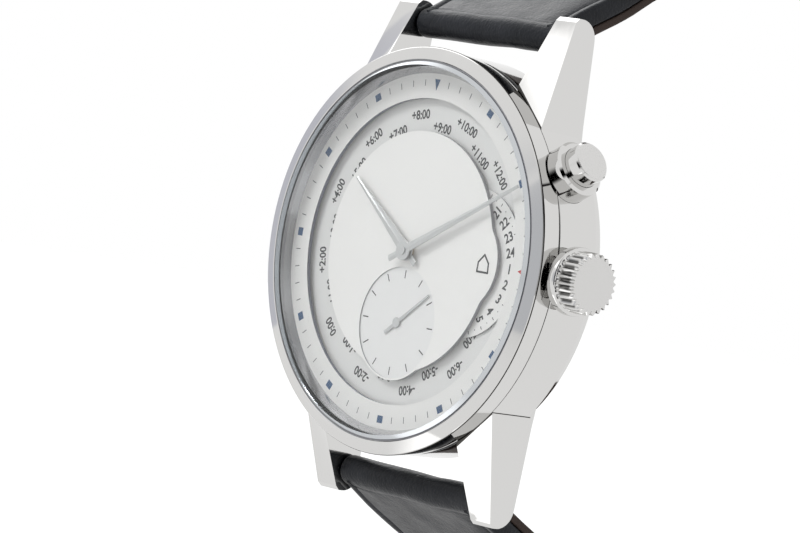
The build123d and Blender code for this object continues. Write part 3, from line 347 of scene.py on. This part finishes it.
def add_bar(bm, width, length, x, y, matrix):
    """Adds a flat printed bar centred on a point of a flat drawing."""
    made = bmesh.ops.create_grid(bm, x_segments=1, y_segments=1, size=0.5)
    shape = Matrix.Translation((x, y, 0)) @ Matrix.Diagonal((width, length, 1, 1))
    bmesh.ops.transform(bm, matrix=matrix @ shape, verts=made["verts"])


def piece(name, bm, finish, body, smooth=False):
    """Makes a mesh piece that rides on a body of the frame."""
    crease = 0.7
    mesh = bpy.data.meshes.new(name)
    if smooth:
        for face in bm.faces:
            face.smooth = True
        for edge in bm.edges:
            edge.smooth = edge.calc_face_angle(0) < crease
    bm.to_mesh(mesh)
    bm.free()
    mesh.materials.append(finish.material)
    made = bpy.data.objects.new(name, mesh)
    bpy.context.scene.collection.objects.link(made)
    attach(made, body)
    return made


black_print = toned("black_print", (0.012, 0.012, 0.015), roughness=0.45, Specular_IOR_Level=0.2)
place_top, place_cap, even_row, odd_row = 7.9, 0.92, 13.45, 12.30
hour_turn, ring_turn, offset_at_top = 360 / 24, 4.8, 9
wear(silvered("place_metal", (0.70, 0.70, 0.695)), "place_ring")
bm = bmesh.new()
for hour in range(24):
    offset = (hour + 11) % 24 - 11
    row = odd_row if offset % 2 else even_row
    sheet = on_dial(ring_turn + hour_turn * (offset - offset_at_top), place_top + print_lift)
    add_text(bm, f"{offset:+d}:00" if offset else "0:00", place_cap, 0, row, sheet)
piece("place_numerals", bm, black_print, "place_ring")


# Home time disc
# A silvered disc that turns once a day under the dial's right edge. Its twenty four numerals read
# outwards, with a short dash outside each and a dot between.
home_x, home_top, home_cap, home_row = 8.15, 8.12, 0.95, 5.95
dash_row, dash_length, dash_width, dot_row, dot_width = 6.85, 0.32, 0.09, 6.75, 0.10
wear(silvered("home_metal", (0.79, 0.785, 0.775)), "home_disc")
bm = bmesh.new()
for hour in range(1, 25):
    sheet = on_dial(hour_turn * (hour - 1), home_top + print_lift, home_x)
    add_text(bm, str(hour), home_cap, home_row, 0, sheet)
    add_bar(bm, dash_length, dash_width, dash_row, 0, sheet)
    between = on_dial(hour_turn * (hour - 0.5), home_top + print_lift, home_x)
    add_bar(bm, dot_width, dot_width, dot_row, 0, between)
piece("home_numerals", bm, black_print, "home")


# Minute ring
# The silvered outer ring. Blue squares mark the hours, a blue triangle 12 o'clock and a small red
# one the home time at 3 o'clock; thin grey strokes mark the minutes.
blue_print = toned("blue_print", (0.005, 0.060, 0.165), roughness=0.35, Specular_IOR_Level=0.2)
grey_print = toned("grey_print", (0.06, 0.06, 0.07), roughness=0.45, Specular_IOR_Level=0.2)
red_print = toned("red_print", (0.50, 0.015, 0.015), roughness=0.4, Specular_IOR_Level=0.2)
dial_top = 8.6
square_row, square_width, square_length = 16.53, 0.80, 0.72
noon_width, noon_outer, noon_inner = 0.78, 16.9, 15.75
stroke_row, stroke_width, stroke_length = 16.5, 0.085, 0.62
pointer_turn, pointer_width, pointer_outer, pointer_inner = 90, 0.5, 16.4, 15.78
# Shade is painted blue-black on the ring's upright inner wall.
wear(silvered("ring_metal", edge=(0.10, 0.11, 0.15)), "minute_ring")


def add_triangle(bm, width, outer, inner, matrix):
    """Adds a flat printed triangle that points to the centre."""
    made = bmesh.ops.create_circle(bm, cap_ends=True, segments=3, radius=1.0)
    for vertex, (x, y) in zip(made["verts"], ((0, inner), (width / 2, outer), (-width / 2, outer))):
        vertex.co = matrix @ Vector((x, y, 0))


bm = bmesh.new()
for hour in range(1, 12):
    if hour != 3:
        sheet = on_dial(360 / 12 * hour, dial_top + print_lift)
        add_bar(bm, square_width, square_length, 0, square_row, sheet)
add_triangle(bm, noon_width, noon_outer, noon_inner, on_dial(0, dial_top + print_lift))
bmesh.ops.recalc_face_normals(bm, faces=bm.faces)
piece("hour_marks", bm, blue_print, "case")
bm = bmesh.new()
for minute in range(60):
    if minute % 5:
        sheet = on_dial(360 / 60 * minute, dial_top + print_lift)
        add_bar(bm, stroke_width, stroke_length, 0, stroke_row, sheet)
piece("minute_marks", bm, grey_print, "case")
bm = bmesh.new()
sheet = on_dial(pointer_turn, dial_top + print_lift)
add_triangle(bm, pointer_width, pointer_outer, pointer_inner, sheet)
piece("home_pointer", bm, red_print, "case")


# Centre dial
# A raised silvered plate with a turned recess for the small seconds. Twelve fine strokes mark the
# seconds, and the outline of a house points to the home time.
seconds_z, recess_top, recess_radius = -7.0, 8.48, 5.42
turning_pitch, turning_lift = 0.06, 0.004
tick_row, tick_width, tick_length = 4.75, 0.12, 0.8
wear(silvered("centre_metal", (0.815, 0.81, 0.80)), "centre_dial")
recess = Finish("recess_metal", (0.76, 0.76, 0.76), roughness=0.36, metallic=0.3)
x, y, z = recess.axes(recess.place())
radius = (x * x + (z - seconds_z) * (z - seconds_z)).root()
turning = radius.maths("PINGPONG", radius, turning_pitch)
recess.set(Roughness=turning * 2.0 + 0.30)
recess.raise_by(turning, depth=0.03, strength=0.6)
disc = bmesh.new()
bmesh.ops.create_circle(disc, cap_ends=True, segments=128, radius=recess_radius)
sheet = on_dial(0, recess_top + turning_lift, 0, seconds_z)
bmesh.ops.transform(disc, matrix=sheet, verts=disc.verts)
piece("seconds_turning", disc, recess, "case")
bm = bmesh.new()
for step in range(12):
    sheet = on_dial(360 / 12 * step, recess_top + print_lift, 0, seconds_z)
    add_bar(bm, tick_width, tick_length, 0, tick_row, sheet)
house = [(10.14, -0.69), (11.68, -0.69), (11.6, 0.22), (10.9, 0.99), (10.17, 0.22)]
house_line, corner_overlap = 0.19, 0.14
for (x, y), (x2, y2) in zip(house, house[1:] + house[:1]):
    side = Vector((x2 - x, y2 - y))
    lean = Matrix.Rotation(side.angle_signed(Vector((1, 0))), 4, "Z")
    turned = Matrix.Translation(((x + x2) / 2, (y + y2) / 2, 0)) @ lean
    sheet = on_dial(0, dial_top + print_lift) @ turned
    add_bar(bm, side.length + corner_overlap, house_line, 0, 0, sheet)
piece("dial_print", bm, black_print, "case")


# Hands
# Rhodium plated brass, cut as slim lances whose two long faces fall from a ridge, with a round boss
# pressed on the pipe below.
hand_metal = Finish("hand_metal", (0.52, 0.525, 0.53), roughness=0.34, metallic=1.0)
grain = hand_metal.speckle(hand_metal.place(), scale=12.0, detail=2.0)
hand_metal.set(Roughness=grain * 0.10 + 0.32)
wear(hand_metal, "cannon_pinion")


def join(bm, part):
    """Moves a part's mesh into another."""
    mesh = bpy.data.meshes.new("part")
    part.to_mesh(mesh)
    part.free()
    bm.from_mesh(mesh)
    bpy.data.meshes.remove(mesh)


def add_boss(bm, radius, low, high, matrix):
    """Adds a round boss with a softened upper edge."""
    disc = bmesh.new()
    bmesh.ops.create_cone(disc, cap_ends=True, segments=64, radius1=radius, radius2=radius, depth=high - low)
    bmesh.ops.translate(disc, vec=(0, 0, (low + high) / 2), verts=disc.verts)
    rim = [e for e in disc.edges if all(v.co.z > (low + high) / 2 for v in e.verts)]
    bmesh.ops.bevel(disc, geom=rim, offset=(high - low) * 0.4, segments=3, affect="EDGES", profile=0.5,
                    material=-1)
    bmesh.ops.transform(disc, matrix=matrix, verts=disc.verts)
    join(bm, disc)


def lance(rows, edge, ridge, matrix):
    """A slim blade of the given rows of place and width, its top falling from a ridge to thin edges."""
    bm = bmesh.new()
    bmesh.ops.create_grid(bm, x_segments=2, y_segments=len(rows) - 1, size=0.5)
    for vertex in bm.verts:
        y, width = rows[round((vertex.co.y + 0.5) * (len(rows) - 1))]
        on_ridge = abs(vertex.co.x) < 0.1
        vertex.co = (vertex.co.x * width, y, ridge if on_ridge else edge)
    made = bmesh.ops.extrude_face_region(bm, geom=bm.faces[:])
    for vertex in (v for v in made["geom"] if isinstance(v, bmesh.types.BMVert)):
        vertex.co.z = 0
    bmesh.ops.recalc_face_normals(bm, faces=bm.faces)
    bmesh.ops.transform(bm, matrix=matrix, verts=bm.verts)
    return bm


# Places are in degrees, clockwise from 12 o'clock.
hour_place, minute_place, seconds_place = 305.1, 61.6, 51.5
hour_level, minute_level, seconds_level = 8.9, 9.29, 8.6
blade_edge, blade_ridge, boss_radius = 0.09, 0.15, 0.95
thin_edge, thin_ridge, small_boss, small_boss_high = 0.06, 0.1, 0.5, 0.12
sheet = on_dial(hour_place, hour_level)
rows = ((-1.9, 0.62), (-0.35, 0.62), (0.35, 1.35), (10.9, 0.30))
bm = lance(rows, blade_edge, blade_ridge, sheet)
add_boss(bm, boss_radius, 0.0, blade_ridge, sheet)
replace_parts(piece("hour_blade", bm, hand_metal, "hour"), "hour_hand")
sheet = on_dial(minute_place, minute_level)
rows = ((-2.1, 0.62), (-0.35, 0.62), (0.35, 0.85), (16.7, 0.30))
bm = lance(rows, blade_edge, blade_ridge, sheet)
add_boss(bm, boss_radius, 0.0, blade_ridge, sheet)
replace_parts(piece("minute_blade", bm, hand_metal, "minute"), "minute_hand")
sheet = on_dial(seconds_place, seconds_level, 0, seconds_z)
rows = ((-1.86, 0.34), (-0.3, 0.34), (0.3, 0.34), (5.1, 0.20))
bm = lance(rows, thin_edge, thin_ridge, sheet)
add_boss(bm, small_boss, 0.0, small_boss_high, sheet)
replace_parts(piece("seconds_blade", bm, hand_metal, "seconds"), "seconds_hand")


# Crown and pusher
# Turned from steel bar. The crown has twenty six rounded flutes and a satin face; the pusher slides
# in a polished collar, and its round face is satin too.
def faced_steel(name, direction, face):
    """Polished steel with a satin, finely turned end face."""
    finish = Finish(name, steel_color, roughness=0.06, metallic=1.0)
    point = finish.place()
    x, y, z = finish.axes(point)
    end = (x * direction[0] + z * direction[1]) > face
    turned = finish.speckle(point, scale=6.0, detail=3.0)
    finish.set(Roughness=end * 0.24 + finish.speckle(point, scale=0.5, detail=3.0) * 0.04 + 0.03)
    finish.raise_by(end * turned, depth=0.004, strength=0.4)
    return finish


stem_height, crown_face, flutes, valley_round = 6.2, 23.27, 26, 0.7
valley_floor, valley_edge, valley_shade, grip_middle = 2.70, 2.90, 0.88, 22.0
crown_steel = faced_steel("crown_steel", (1.0, 0.0), crown_face)
# Painted shade in the valleys of the flutes, strongest at the middle of the grip.
x, y, z = crown_steel.axes(crown_steel.place())
outwards = ((y + stem_height) * (y + stem_height) + z * z).root()
deep = crown_steel.fade(outwards, valley_floor, valley_edge, first=1.0, last=0.0)
from_middle = (x - grip_middle) * (x - grip_middle)
middle = crown_steel.fade(from_middle, 0.30, 0.72, first=1.0, last=0.0)
dark_where(crown_steel, deep * middle * valley_shade)

# Rows of the crown from inside its skirt to its face: place along the stem, radius, depth of the flutes.
profile = ((22.15, 1.65, 0), (20.25, 1.65, 0), (20.25, 3.13, 0), (20.31, 3.24, 0), (20.42, 3.28, 0),
           (21.03, 3.28, 0), (21.14, 3.24, 0), (21.20, 3.13, 0), (21.22, 2.95, 0.05), (21.45, 2.96, 0.36),
           (22.95, 2.96, 0.36), (23.18, 2.90, 0.36), (23.3, 2.74, 0.28))
bm = bmesh.new()
bmesh.ops.create_circle(bm, segments=12 * flutes, radius=1.0)
for row, (end, radius, depth) in enumerate(profile):
    loop = bm.verts[:]
    if row:
        made = bmesh.ops.extrude_edge_only(bm, edges=rim)["geom"]
        loop = [v for v in made if isinstance(v, bmesh.types.BMVert)]
    inside_loop = set(loop)
    rim = [e for e in bm.edges if inside_loop.issuperset(e.verts)]
    for vertex in loop:
        turn = atan2(vertex.co.y, vertex.co.x)
        out = radius - depth * (0.5 - 0.5 * cos(flutes * turn)) ** valley_round
        vertex.co = (out * cos(turn), out * sin(turn), end)
bmesh.ops.holes_fill(bm, edges=bm.edges)
bmesh.ops.recalc_face_normals(bm, faces=bm.faces)
on_stem = Matrix.Translation((0, -stem_height, 0)) @ Matrix.Rotation(pi / 2, 4, "Y")
bmesh.ops.transform(bm, verts=bm.verts, matrix=Matrix.Scale(MM, 4) @ on_stem)
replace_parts(piece("fluted_crown", bm, crown_steel, "crown", smooth=True), "crown")
pusher_direction, pusher_face = (0.8704, 0.4924), 23.12
wear(faced_steel("pusher_steel", pusher_direction, pusher_face), "pusher_button")
wear(polished_steel("collar_steel", roughness=0.05), "pusher_tube")


# Strap
# Smooth black leather over a brown lining, rolled round the spring bars, with a fixed and a loose
# keeper and a pin buckle. Each half is cut flat and bevelled, one is punched, and both are bent.
leather = Finish("strap_leather", (0.010, 0.012, 0.016), roughness=0.42, Specular_IOR_Level=0.20)
point = leather.place()
pores = leather.node("ShaderNodeTexVoronoi", {"feature": "F1"}, {"Vector": point, "Scale": 3.2})
folds = leather.speckle(point, scale=0.32, detail=5.0, Roughness=0.65)
fine = leather.speckle(point, scale=7.0, detail=3.0)
worn = leather.node("ShaderNodeMapRange", None, {"Value": folds, "From Min": 0.42, "From Max": 0.72})
leather.set(Base_Color=leather.blend(worn, (0.006, 0.0075, 0.011), (0.016, 0.018, 0.023)),
            Roughness=worn * 0.10 + fine * 0.12 + 0.27)
leather.raise_by(pores * 0.35 + folds * 2.4 + fine * 0.25, depth=0.10, strength=0.6)
lining = Finish("lining_leather", (0.040, 0.027, 0.022), roughness=0.62, Specular_IOR_Level=0.25)
point = lining.place()
nap = lining.speckle(point, scale=3.5, detail=5.0)
lining.set(Base_Color=lining.blend(nap, (0.030, 0.020, 0.017), (0.055, 0.036, 0.028)),
           Roughness=nap * 0.2 + 0.52)
lining.raise_by(nap, depth=0.05, strength=0.5)

# Each half leaves its bar straight at a turn, bends on a radius to its last angle, and ends straight.
# An edge that folds more sharply than 1.2 radians is rounded.
upper = {"side": 1, "turn": 31.0, "bend": 52.0, "last": -20.0, "length": 84.286}
lower = {"side": -1, "turn": 28.0, "bend": 60.0, "last": -72.268, "length": 118.0}
lead, bar_z, bar_height = 13.0, 22.6, 3.2
strap_thick, thinning, lining_thick = 2.9, 0.9, 0.8
lug_width, narrowing = 19.9, 2.2
tip_length, tip_draw, tip_slope = 11, 0.62, 0.05
sharp = 1.2


def strap_spot(x, along, out, half):
    """A point of the flat strap, laid on the curve of a half: across, along and outwards."""
    first, last, bend = radians(half["turn"]), radians(half["last"]), half["bend"]
    straight = min(along, lead)
    heading = first - min(max(along - lead, 0), bend * (first - last)) / bend
    tail = max(along - lead - bend * (first - last), 0)
    z = bar_z + straight * sin(first) + bend * (cos(heading) - cos(first)) + tail * sin(heading)
    height = bar_height - straight * cos(first) - bend * (sin(first) - sin(heading)) - tail * cos(heading)
    z += out * cos(heading)
    height += out * sin(heading)
    return Vector((x, -height, half["side"] * z)) * MM


def thickness(along, half):
    return strap_thick - thinning * along / half["length"]


hole_radius, hole_spacing, tip_to_hole = 0.85, 6.5, 26
buckle_holes = [lower["length"] - tip_to_hole - hole_spacing * step for step in range(7)]


def strap_width(along, half):
    """Full width, narrowing evenly and then to the rounded tip of the hole half."""
    width = lug_width - narrowing * along / half["length"]
    tip_start = lower["length"] - tip_length
    if half is lower and along > tip_start:
        share = (along - tip_start) / tip_length
        width *= (1 - tip_draw * share ** 3) * (1 - tip_slope * share)
    return width


# Places across the strap are shares of its width.
line_place, line_half, beside_hole = 0.445, 0.02, 0.048
half_columns = (0.15, 0.3, line_place - line_half, line_place, line_place + line_half)
columns = (*(-column for column in reversed(half_columns)), 0, *half_columns)

# Close to its bar the outer leather stays above a height, with cuts at these places to hold its shape.
above_bar, over_bar, roll_places = 0.86, 0.9, [0.80, 0.95]


def cut_leather(start, end, half, low, high, edge, rows=56, holes=(), line=0.0):
    """A flat strap between two places of a half, from a low to a high level of its thickness, punched.

    The outer leather has a line pressed along each edge and starts above the bar, over the roll."""
    bm = bmesh.new()
    bmesh.ops.create_cube(bm, size=1.0)
    bmesh.ops.scale(bm, vec=(1, end - start, 1), verts=bm.verts)
    bmesh.ops.translate(bm, vec=(0, (start + end) / 2, 0), verts=bm.verts)
    places = [start + (end - start) * row / rows for row in range(1, rows)]
    places = [place for place in places if all(abs(place - hole) > 1.4 * hole_radius for hole in holes)]
    places += [hole + step * hole_radius for hole in holes for step in (-1, 0, 1)]
    places += roll_places if start < 0 else []
    for place in places:
        bmesh.ops.bisect_plane(bm, geom=bm.verts[:] + bm.edges[:] + bm.faces[:], plane_co=(0, place, 0),
                               plane_no=(0, 1, 0))
    beside = (-beside_hole, beside_hole) if holes else ()
    for column in (*columns, *beside):
        bmesh.ops.bisect_plane(bm, geom=bm.verts[:] + bm.edges[:] + bm.faces[:], plane_co=(column, 0, 0),
                               plane_no=(1, 0, 0))
    for vertex in bm.verts:
        along = vertex.co.y
        thick = thickness(along, half)
        pressed = line if abs(abs(vertex.co.x) - line_place) < line_half / 4 else 0
        vertex.co.x *= strap_width(along, half)
        vertex.co.z = high(thick) - pressed if vertex.co.z > 0 else low(thick)
    rim = [e for e in bm.edges if len(e.link_faces) == 2 and e.calc_face_angle(0) > sharp]
    bmesh.ops.bevel(bm, geom=rim, offset=edge, segments=3, affect="EDGES", profile=0.5, material=-1)
    for hole in holes:
        punch(bm, hole, half, low, high)
    for vertex in bm.verts:
        if start < 0 and vertex.co.y < over_bar:
            vertex.co.z = max(vertex.co.z, above_bar)
    return bm


def punch(bm, hole, half, low, high):
    """Opens a round hole through the flat leather and walls its sides."""
    middle = (low(thickness(hole, half)) + high(thickness(hole, half))) / 2
    inner = [f for f in bm.faces if abs(f.calc_center_median().x) < hole_radius
             and abs(f.calc_center_median().y - hole) < hole_radius]
    bmesh.ops.delete(bm, geom=inner, context="FACES")
    rim = [e for e in bm.edges if e.is_boundary]
    for vertex in {v for e in rim for v in e.verts}:
        out = Vector((vertex.co.x, vertex.co.y - hole)).normalized() * hole_radius
        level = high if vertex.co.z > middle else low
        vertex.co = (out.x, hole + out.y, level(thickness(hole + out.y, half)))
    upper_rim = [e for e in rim if e.verts[0].co.z > middle]
    walls = bmesh.ops.extrude_edge_only(bm, edges=upper_rim)["geom"]
    for vertex in (v for v in walls if isinstance(v, bmesh.types.BMVert)):
        vertex.co.z = low(thickness(vertex.co.y, half))
    bmesh.ops.remove_doubles(bm, verts=bm.verts, dist=0.002)


def add_roll(bm, at, radius, bore, width, middle=0.0):
    """Adds the leather rolled round a bar: a thick ring across the strap."""
    slices, rounding = 12, 0.4
    roll = bmesh.new()
    for r in (radius, bore):
        bmesh.ops.create_circle(roll, segments=40, radius=r)
    face = bmesh.ops.bridge_loops(roll, edges=roll.edges[:])["faces"]
    made = bmesh.ops.extrude_face_region(roll, geom=face)
    far_end = [v for v in made["geom"] if isinstance(v, bmesh.types.BMVert)]
    bmesh.ops.translate(roll, vec=(0, 0, width), verts=far_end)
    rim = [e for e in roll.edges if e.calc_face_angle(0) > sharp
           and e.verts[0].co.to_2d().length > bore * 1.1]
    bmesh.ops.bevel(roll, geom=rim, offset=rounding, segments=4, affect="EDGES", profile=0.5, material=-1)
    for cut in range(1, slices):
        bmesh.ops.bisect_plane(roll, geom=roll.verts[:] + roll.edges[:] + roll.faces[:],
                               plane_co=(0, 0, width * cut / slices), plane_no=(0, 0, 1))
    lay = Matrix.Translation((middle - width / 2, at, 0)) @ Matrix.Rotation(pi / 2, 4, "Y")
    bmesh.ops.transform(roll, matrix=lay, verts=roll.verts)
    bmesh.ops.recalc_face_normals(roll, faces=roll.faces)
    join(bm, roll)


def bend_leather(bm, half):
    """Makes the flat leather a little uneven and lays it on its curve."""
    wave, stretch, shift = 0.22, 0.004, 0.10
    for vertex in bm.verts:
        x, along, out = vertex.co
        uneven = noise.noise(Vector((x * 0.16, along * 0.22, 3.0 * half["side"])))
        ripple = noise.noise(Vector((x * 0.5, along * 0.45, 9.0)))
        vertex.co = strap_spot(x * (1 + stretch * ripple), along + shift * ripple, out + wave * uneven, half)
    bmesh.ops.recalc_face_normals(bm, faces=bm.faces)


seam_gap, leather_edge, lining_edge, line_depth = 0.04, 0.34, 0.2, 0.22


def outside(thick):
    return thick / 2


def inside(thick):
    return -thick / 2


def lining_top(thick):
    return inside(thick) + lining_thick


def seam(thick):
    return lining_top(thick) + seam_gap


over_roll, lining_start, lining_end, end_gap = -0.4, 3.2, 77.2, 0.1
bar_roll, bar_bore = 1.49, 0.79
body_end, ear_start, ear_end, ear_share, ear_place = 79.3, 77.9, 83.45, 0.42, 5.08
buckle_roll, buckle_bore, ear_width = 1.5, 0.74, 7.35
bm = cut_leather(over_roll, body_end, upper, seam, outside, leather_edge, line=line_depth)
add_roll(bm, 0, bar_roll, bar_bore, lug_width)
for side in (-1, 1):
    ear = cut_leather(ear_start, ear_end, upper, seam, outside, leather_edge, rows=6)
    for vertex in ear.verts:
        vertex.co.x = vertex.co.x * ear_share + side * ear_place
    join(bm, ear)
    add_roll(bm, upper["length"], buckle_roll, buckle_bore, ear_width, side * ear_place)
bend_leather(bm, upper)
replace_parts(piece("upper_leather", bm, leather, "strap_upper", smooth=True), "strap_upper")
bm = cut_leather(over_roll, lower["length"] - end_gap, lower, seam, outside, leather_edge, rows=80,
                 holes=buckle_holes, line=line_depth)
add_roll(bm, 0, bar_roll, bar_bore, lug_width)
bend_leather(bm, lower)
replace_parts(piece("lower_leather", bm, leather, "strap_lower", smooth=True), "strap_lower")
bm = cut_leather(lining_start, lining_end, upper, inside, lining_top, lining_edge)
bend_leather(bm, upper)
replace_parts(piece("upper_inner", bm, lining, "strap_upper", smooth=True), "upper_lining")
bm = cut_leather(lining_start, lower["length"] - 2 * end_gap, lower, inside, lining_top, lining_edge,
                 rows=80, holes=buckle_holes)
bend_leather(bm, lower)
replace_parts(piece("lower_inner", bm, lining, "strap_lower", smooth=True), "lower_lining")


keeper_length, keeper_wall, side_room, lining_room, free_end_room = 5, 1.1, 0.6, 0.28, 2.6
fixed_back, loose_back, keeper_corner, keeper_edge = 4.4, 13.5, 0.35, 0.25


def keeper(name, back, body, node):
    """A leather loop round the strap with room for the free end on its outer side."""
    middle = upper["length"] - back - keeper_length / 2
    thick = thickness(middle, upper)
    bm = bmesh.new()
    for wall in (0, keeper_wall):
        wide = strap_width(middle, upper) + side_room + 2 * wall
        low, high = -thick / 2 - lining_room - wall, thick / 2 + free_end_room + wall
        loop = bmesh.ops.create_grid(bm, x_segments=1, y_segments=1, size=0.5)["verts"]
        bmesh.ops.delete(bm, geom=list({f for v in loop for f in v.link_faces}), context="FACES_ONLY")
        shape = Matrix.Translation((0, (low + high) / 2, 0)) @ Matrix.Diagonal((wide, high - low, 1, 1))
        bmesh.ops.transform(bm, matrix=shape, verts=loop)
        bmesh.ops.bevel(bm, geom=loop, offset=keeper_corner + wall / 2, segments=4, affect="VERTICES",
                        profile=0.5, material=-1)
    ring = bmesh.ops.bridge_loops(bm, edges=bm.edges[:])["faces"]
    made = bmesh.ops.extrude_face_region(bm, geom=ring)
    far_end = [v for v in made["geom"] if isinstance(v, bmesh.types.BMVert)]
    bmesh.ops.translate(bm, vec=(0, 0, keeper_length), verts=far_end)
    rim = [e for e in bm.edges if e.calc_face_angle(0) > sharp]
    bmesh.ops.bevel(bm, geom=rim, offset=keeper_edge, segments=3, affect="EDGES", profile=0.5, material=-1)
    for vertex in bm.verts:
        along = middle - keeper_length / 2 + vertex.co.z
        vertex.co = strap_spot(vertex.co.x, along, vertex.co.y, upper)
    bmesh.ops.recalc_face_normals(bm, faces=bm.faces)
    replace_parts(piece(name, bm, leather, body, smooth=True), node)


keeper("fixed_loop", fixed_back, "strap_upper", "fixed_keeper")
keeper("sliding_loop", loose_back, "loose_keeper", "loose_keeper")
wear(polished_steel("buckle_steel", roughness=0.08), "buckle_frame", "buckle_tongue", "buckle_bar")


# Floor and light
# A pale floor in a white room, with one square soft lamp. Grey and dark boards, and bright ones in
# place of soft boxes, stand outside the picture and give the polished steel something to mirror.
scene = bpy.context.scene
scene.view_settings.view_transform = "Standard"
world = bpy.data.worlds.new("studio")
scene.world = world
world.use_nodes = True
room = world.node_tree
background = room.nodes["Background"]
background.inputs["Color"].default_value = (1, 1, 1, 1)


def seen_directly(tree):
    """One for rays from the camera, from mirrors and through glass, and zero for soft light."""
    path = tree.nodes.new("ShaderNodeLightPath")
    total = path.outputs["Is Camera Ray"]
    for kind in ("Is Glossy Ray", "Is Transmission Ray"):
        both = tree.nodes.new("ShaderNodeMath")
        both.operation = "MAXIMUM"
        tree.links.new(total, both.inputs[0])
        tree.links.new(path.outputs[kind], both.inputs[1])
        total = both.outputs[0]
    return total


soft_light = 0.52
level = room.nodes.new("ShaderNodeMapRange")
level.inputs["To Min"].default_value, level.inputs["To Max"].default_value = soft_light, 1.0
room.links.new(seen_directly(room), level.inputs[0])
room.links.new(level.outputs[0], background.inputs["Strength"])

floor_level, floor_half = -0.098, 3.0
bm = bmesh.new()
bmesh.ops.create_grid(bm, x_segments=1, y_segments=1, size=floor_half)
bmesh.ops.translate(bm, vec=(0, 0, floor_level), verts=bm.verts)
mesh = bpy.data.meshes.new("floor")
bm.to_mesh(mesh)
floor = bpy.data.objects.new("floor", mesh)
scene.collection.objects.link(floor)
floor_white = Finish("floor_white", (0.88, 0.88, 0.88), roughness=0.9)
x, y, z = floor_white.axes(floor_white.place())
away_from_watch = (x * x + y * y).root()
white, black, lamp_pool = (1.0, 1.0, 1.0), (0.0, 0.0, 0.0), (0.80, 0.80, 0.80)
out_of_lamp = floor_white.fade(away_from_watch, 50, 700)
glow_color = floor_white.blend(out_of_lamp, lamp_pool, white)
glow = floor_white.node("ShaderNodeEmission", None, {"Color": glow_color, "Strength": 1.62})
falling = floor_white.fade(away_from_watch, 210, 1185, last=0.36)
ahead_only = floor_white.fade(abs(x / y), 0.45, 0.95, first=1.0, last=0.0)
falling = falling * ahead_only * (y < 0)
mirrored_color = floor_white.blend(falling, white, black)
mirrored = floor_white.node("ShaderNodeEmission", None, {"Color": mirrored_color, "Strength": 1.0})
camera_ray = floor_white.node("ShaderNodeLightPath", output="Is Camera Ray")
seen = Value(floor_white, seen_directly(floor_white.tree))
own_shader = Value(floor_white, floor_white.shader.outputs[0])
lit = floor_white.node("ShaderNodeMixShader", None, {0: 0.5, 1: own_shader, 2: glow})
blended = floor_white.node("ShaderNodeMixShader", None, {0: seen, 1: own_shader, 2: mirrored})
blended = floor_white.node("ShaderNodeMixShader", None, {0: camera_ray, 1: blended, 2: lit})
floor_white.tree.links.new(blended.socket, floor_white.tree.nodes["Material Output"].inputs["Surface"])
mesh.materials.append(floor_white.material)


soft_edge, standing_off, close_by = 0.35, 0.6, 0.0398


def board(name, direction, distance, width, height, shade, through=False):
    """A flat board that faces the watch. Only mirrors show it, and one can show through the crystal too."""
    bm = bmesh.new()
    bmesh.ops.create_grid(bm, x_segments=1, y_segments=1, size=0.5)
    away = Vector(direction).normalized()
    turn = away.to_track_quat("Z", "Y").to_matrix().to_4x4()
    shape = Matrix.Translation(away * distance) @ turn @ Matrix.Diagonal((width, height, 1, 1))
    bmesh.ops.transform(bm, matrix=shape, verts=bm.verts)
    mesh = bpy.data.meshes.new(name)
    bm.to_mesh(mesh)
    made = bpy.data.objects.new(name, mesh)
    scene.collection.objects.link(made)
    finish = Finish(name, black, roughness=1.0, Emission_Strength=1.0, Specular_IOR_Level=0.0)
    x, y, z = finish.axes(finish.place())
    middle = away * distance / MM
    flat = Vector((away.y, -away.x)).normalized()
    aside = (x - middle.x) * flat.x + (y - middle.y) * flat.y
    across, upwards = abs(aside) / (width / 2 / MM), abs(z - middle.z) / (height / 2 / MM)
    outer = across.maths("MAXIMUM", across, upwards)
    finish.set(Emission_Color=finish.blend(finish.fade(outer, soft_edge, 1.0), shade, white))
    mesh.materials.append(finish.material)
    made.visible_camera = made.visible_diffuse = made.visible_shadow = False
    made.visible_transmission = through


board("board_front", (-0.19, -0.98, 0.0), standing_off, 0.28, 0.60, (0.64, 0.655, 0.69))
board("board_beside", (-0.44, -0.90, 0.0), standing_off, 0.18, 0.45, (0.68, 0.69, 0.72))
board("board_left", (-0.985, -0.15, 0.0), standing_off, 0.32, 0.9, (0.68, 0.69, 0.76))
board("soft_box_back", (-0.745, 0.22, 0.63), standing_off, 0.50, 0.62, (2.5, 2.5, 2.5))
board("board_right", (0.99, -0.10, 0.0), standing_off, 0.30, 0.9, (0.05, 0.05, 0.06), through=True)
board("board_camera", (0.751, -0.66, 0.015), standing_off, 0.24, 1.4, black)
board("soft_box_high", (-0.42, -0.68, 0.60), standing_off, 0.46, 0.26, (1.7, 1.7, 1.7))
board("soft_card_low", (0.013, -0.577, -0.816), close_by, 0.034, 0.018, (1.8, 1.8, 1.8))


def lamp(name, place, size, power):
    """A square soft lamp aimed at the watch."""
    data = bpy.data.lights.new(name, "AREA")
    data.size, data.energy = size, power
    made = bpy.data.objects.new(name, data)
    made.location = place
    made.rotation_euler = Vector(place).to_track_quat("Z", "Y").to_euler()
    made.visible_glossy = False
    scene.collection.objects.link(made)


lamp("key_lamp", (-0.45, -0.75, 0.75), 0.35, 7.0)
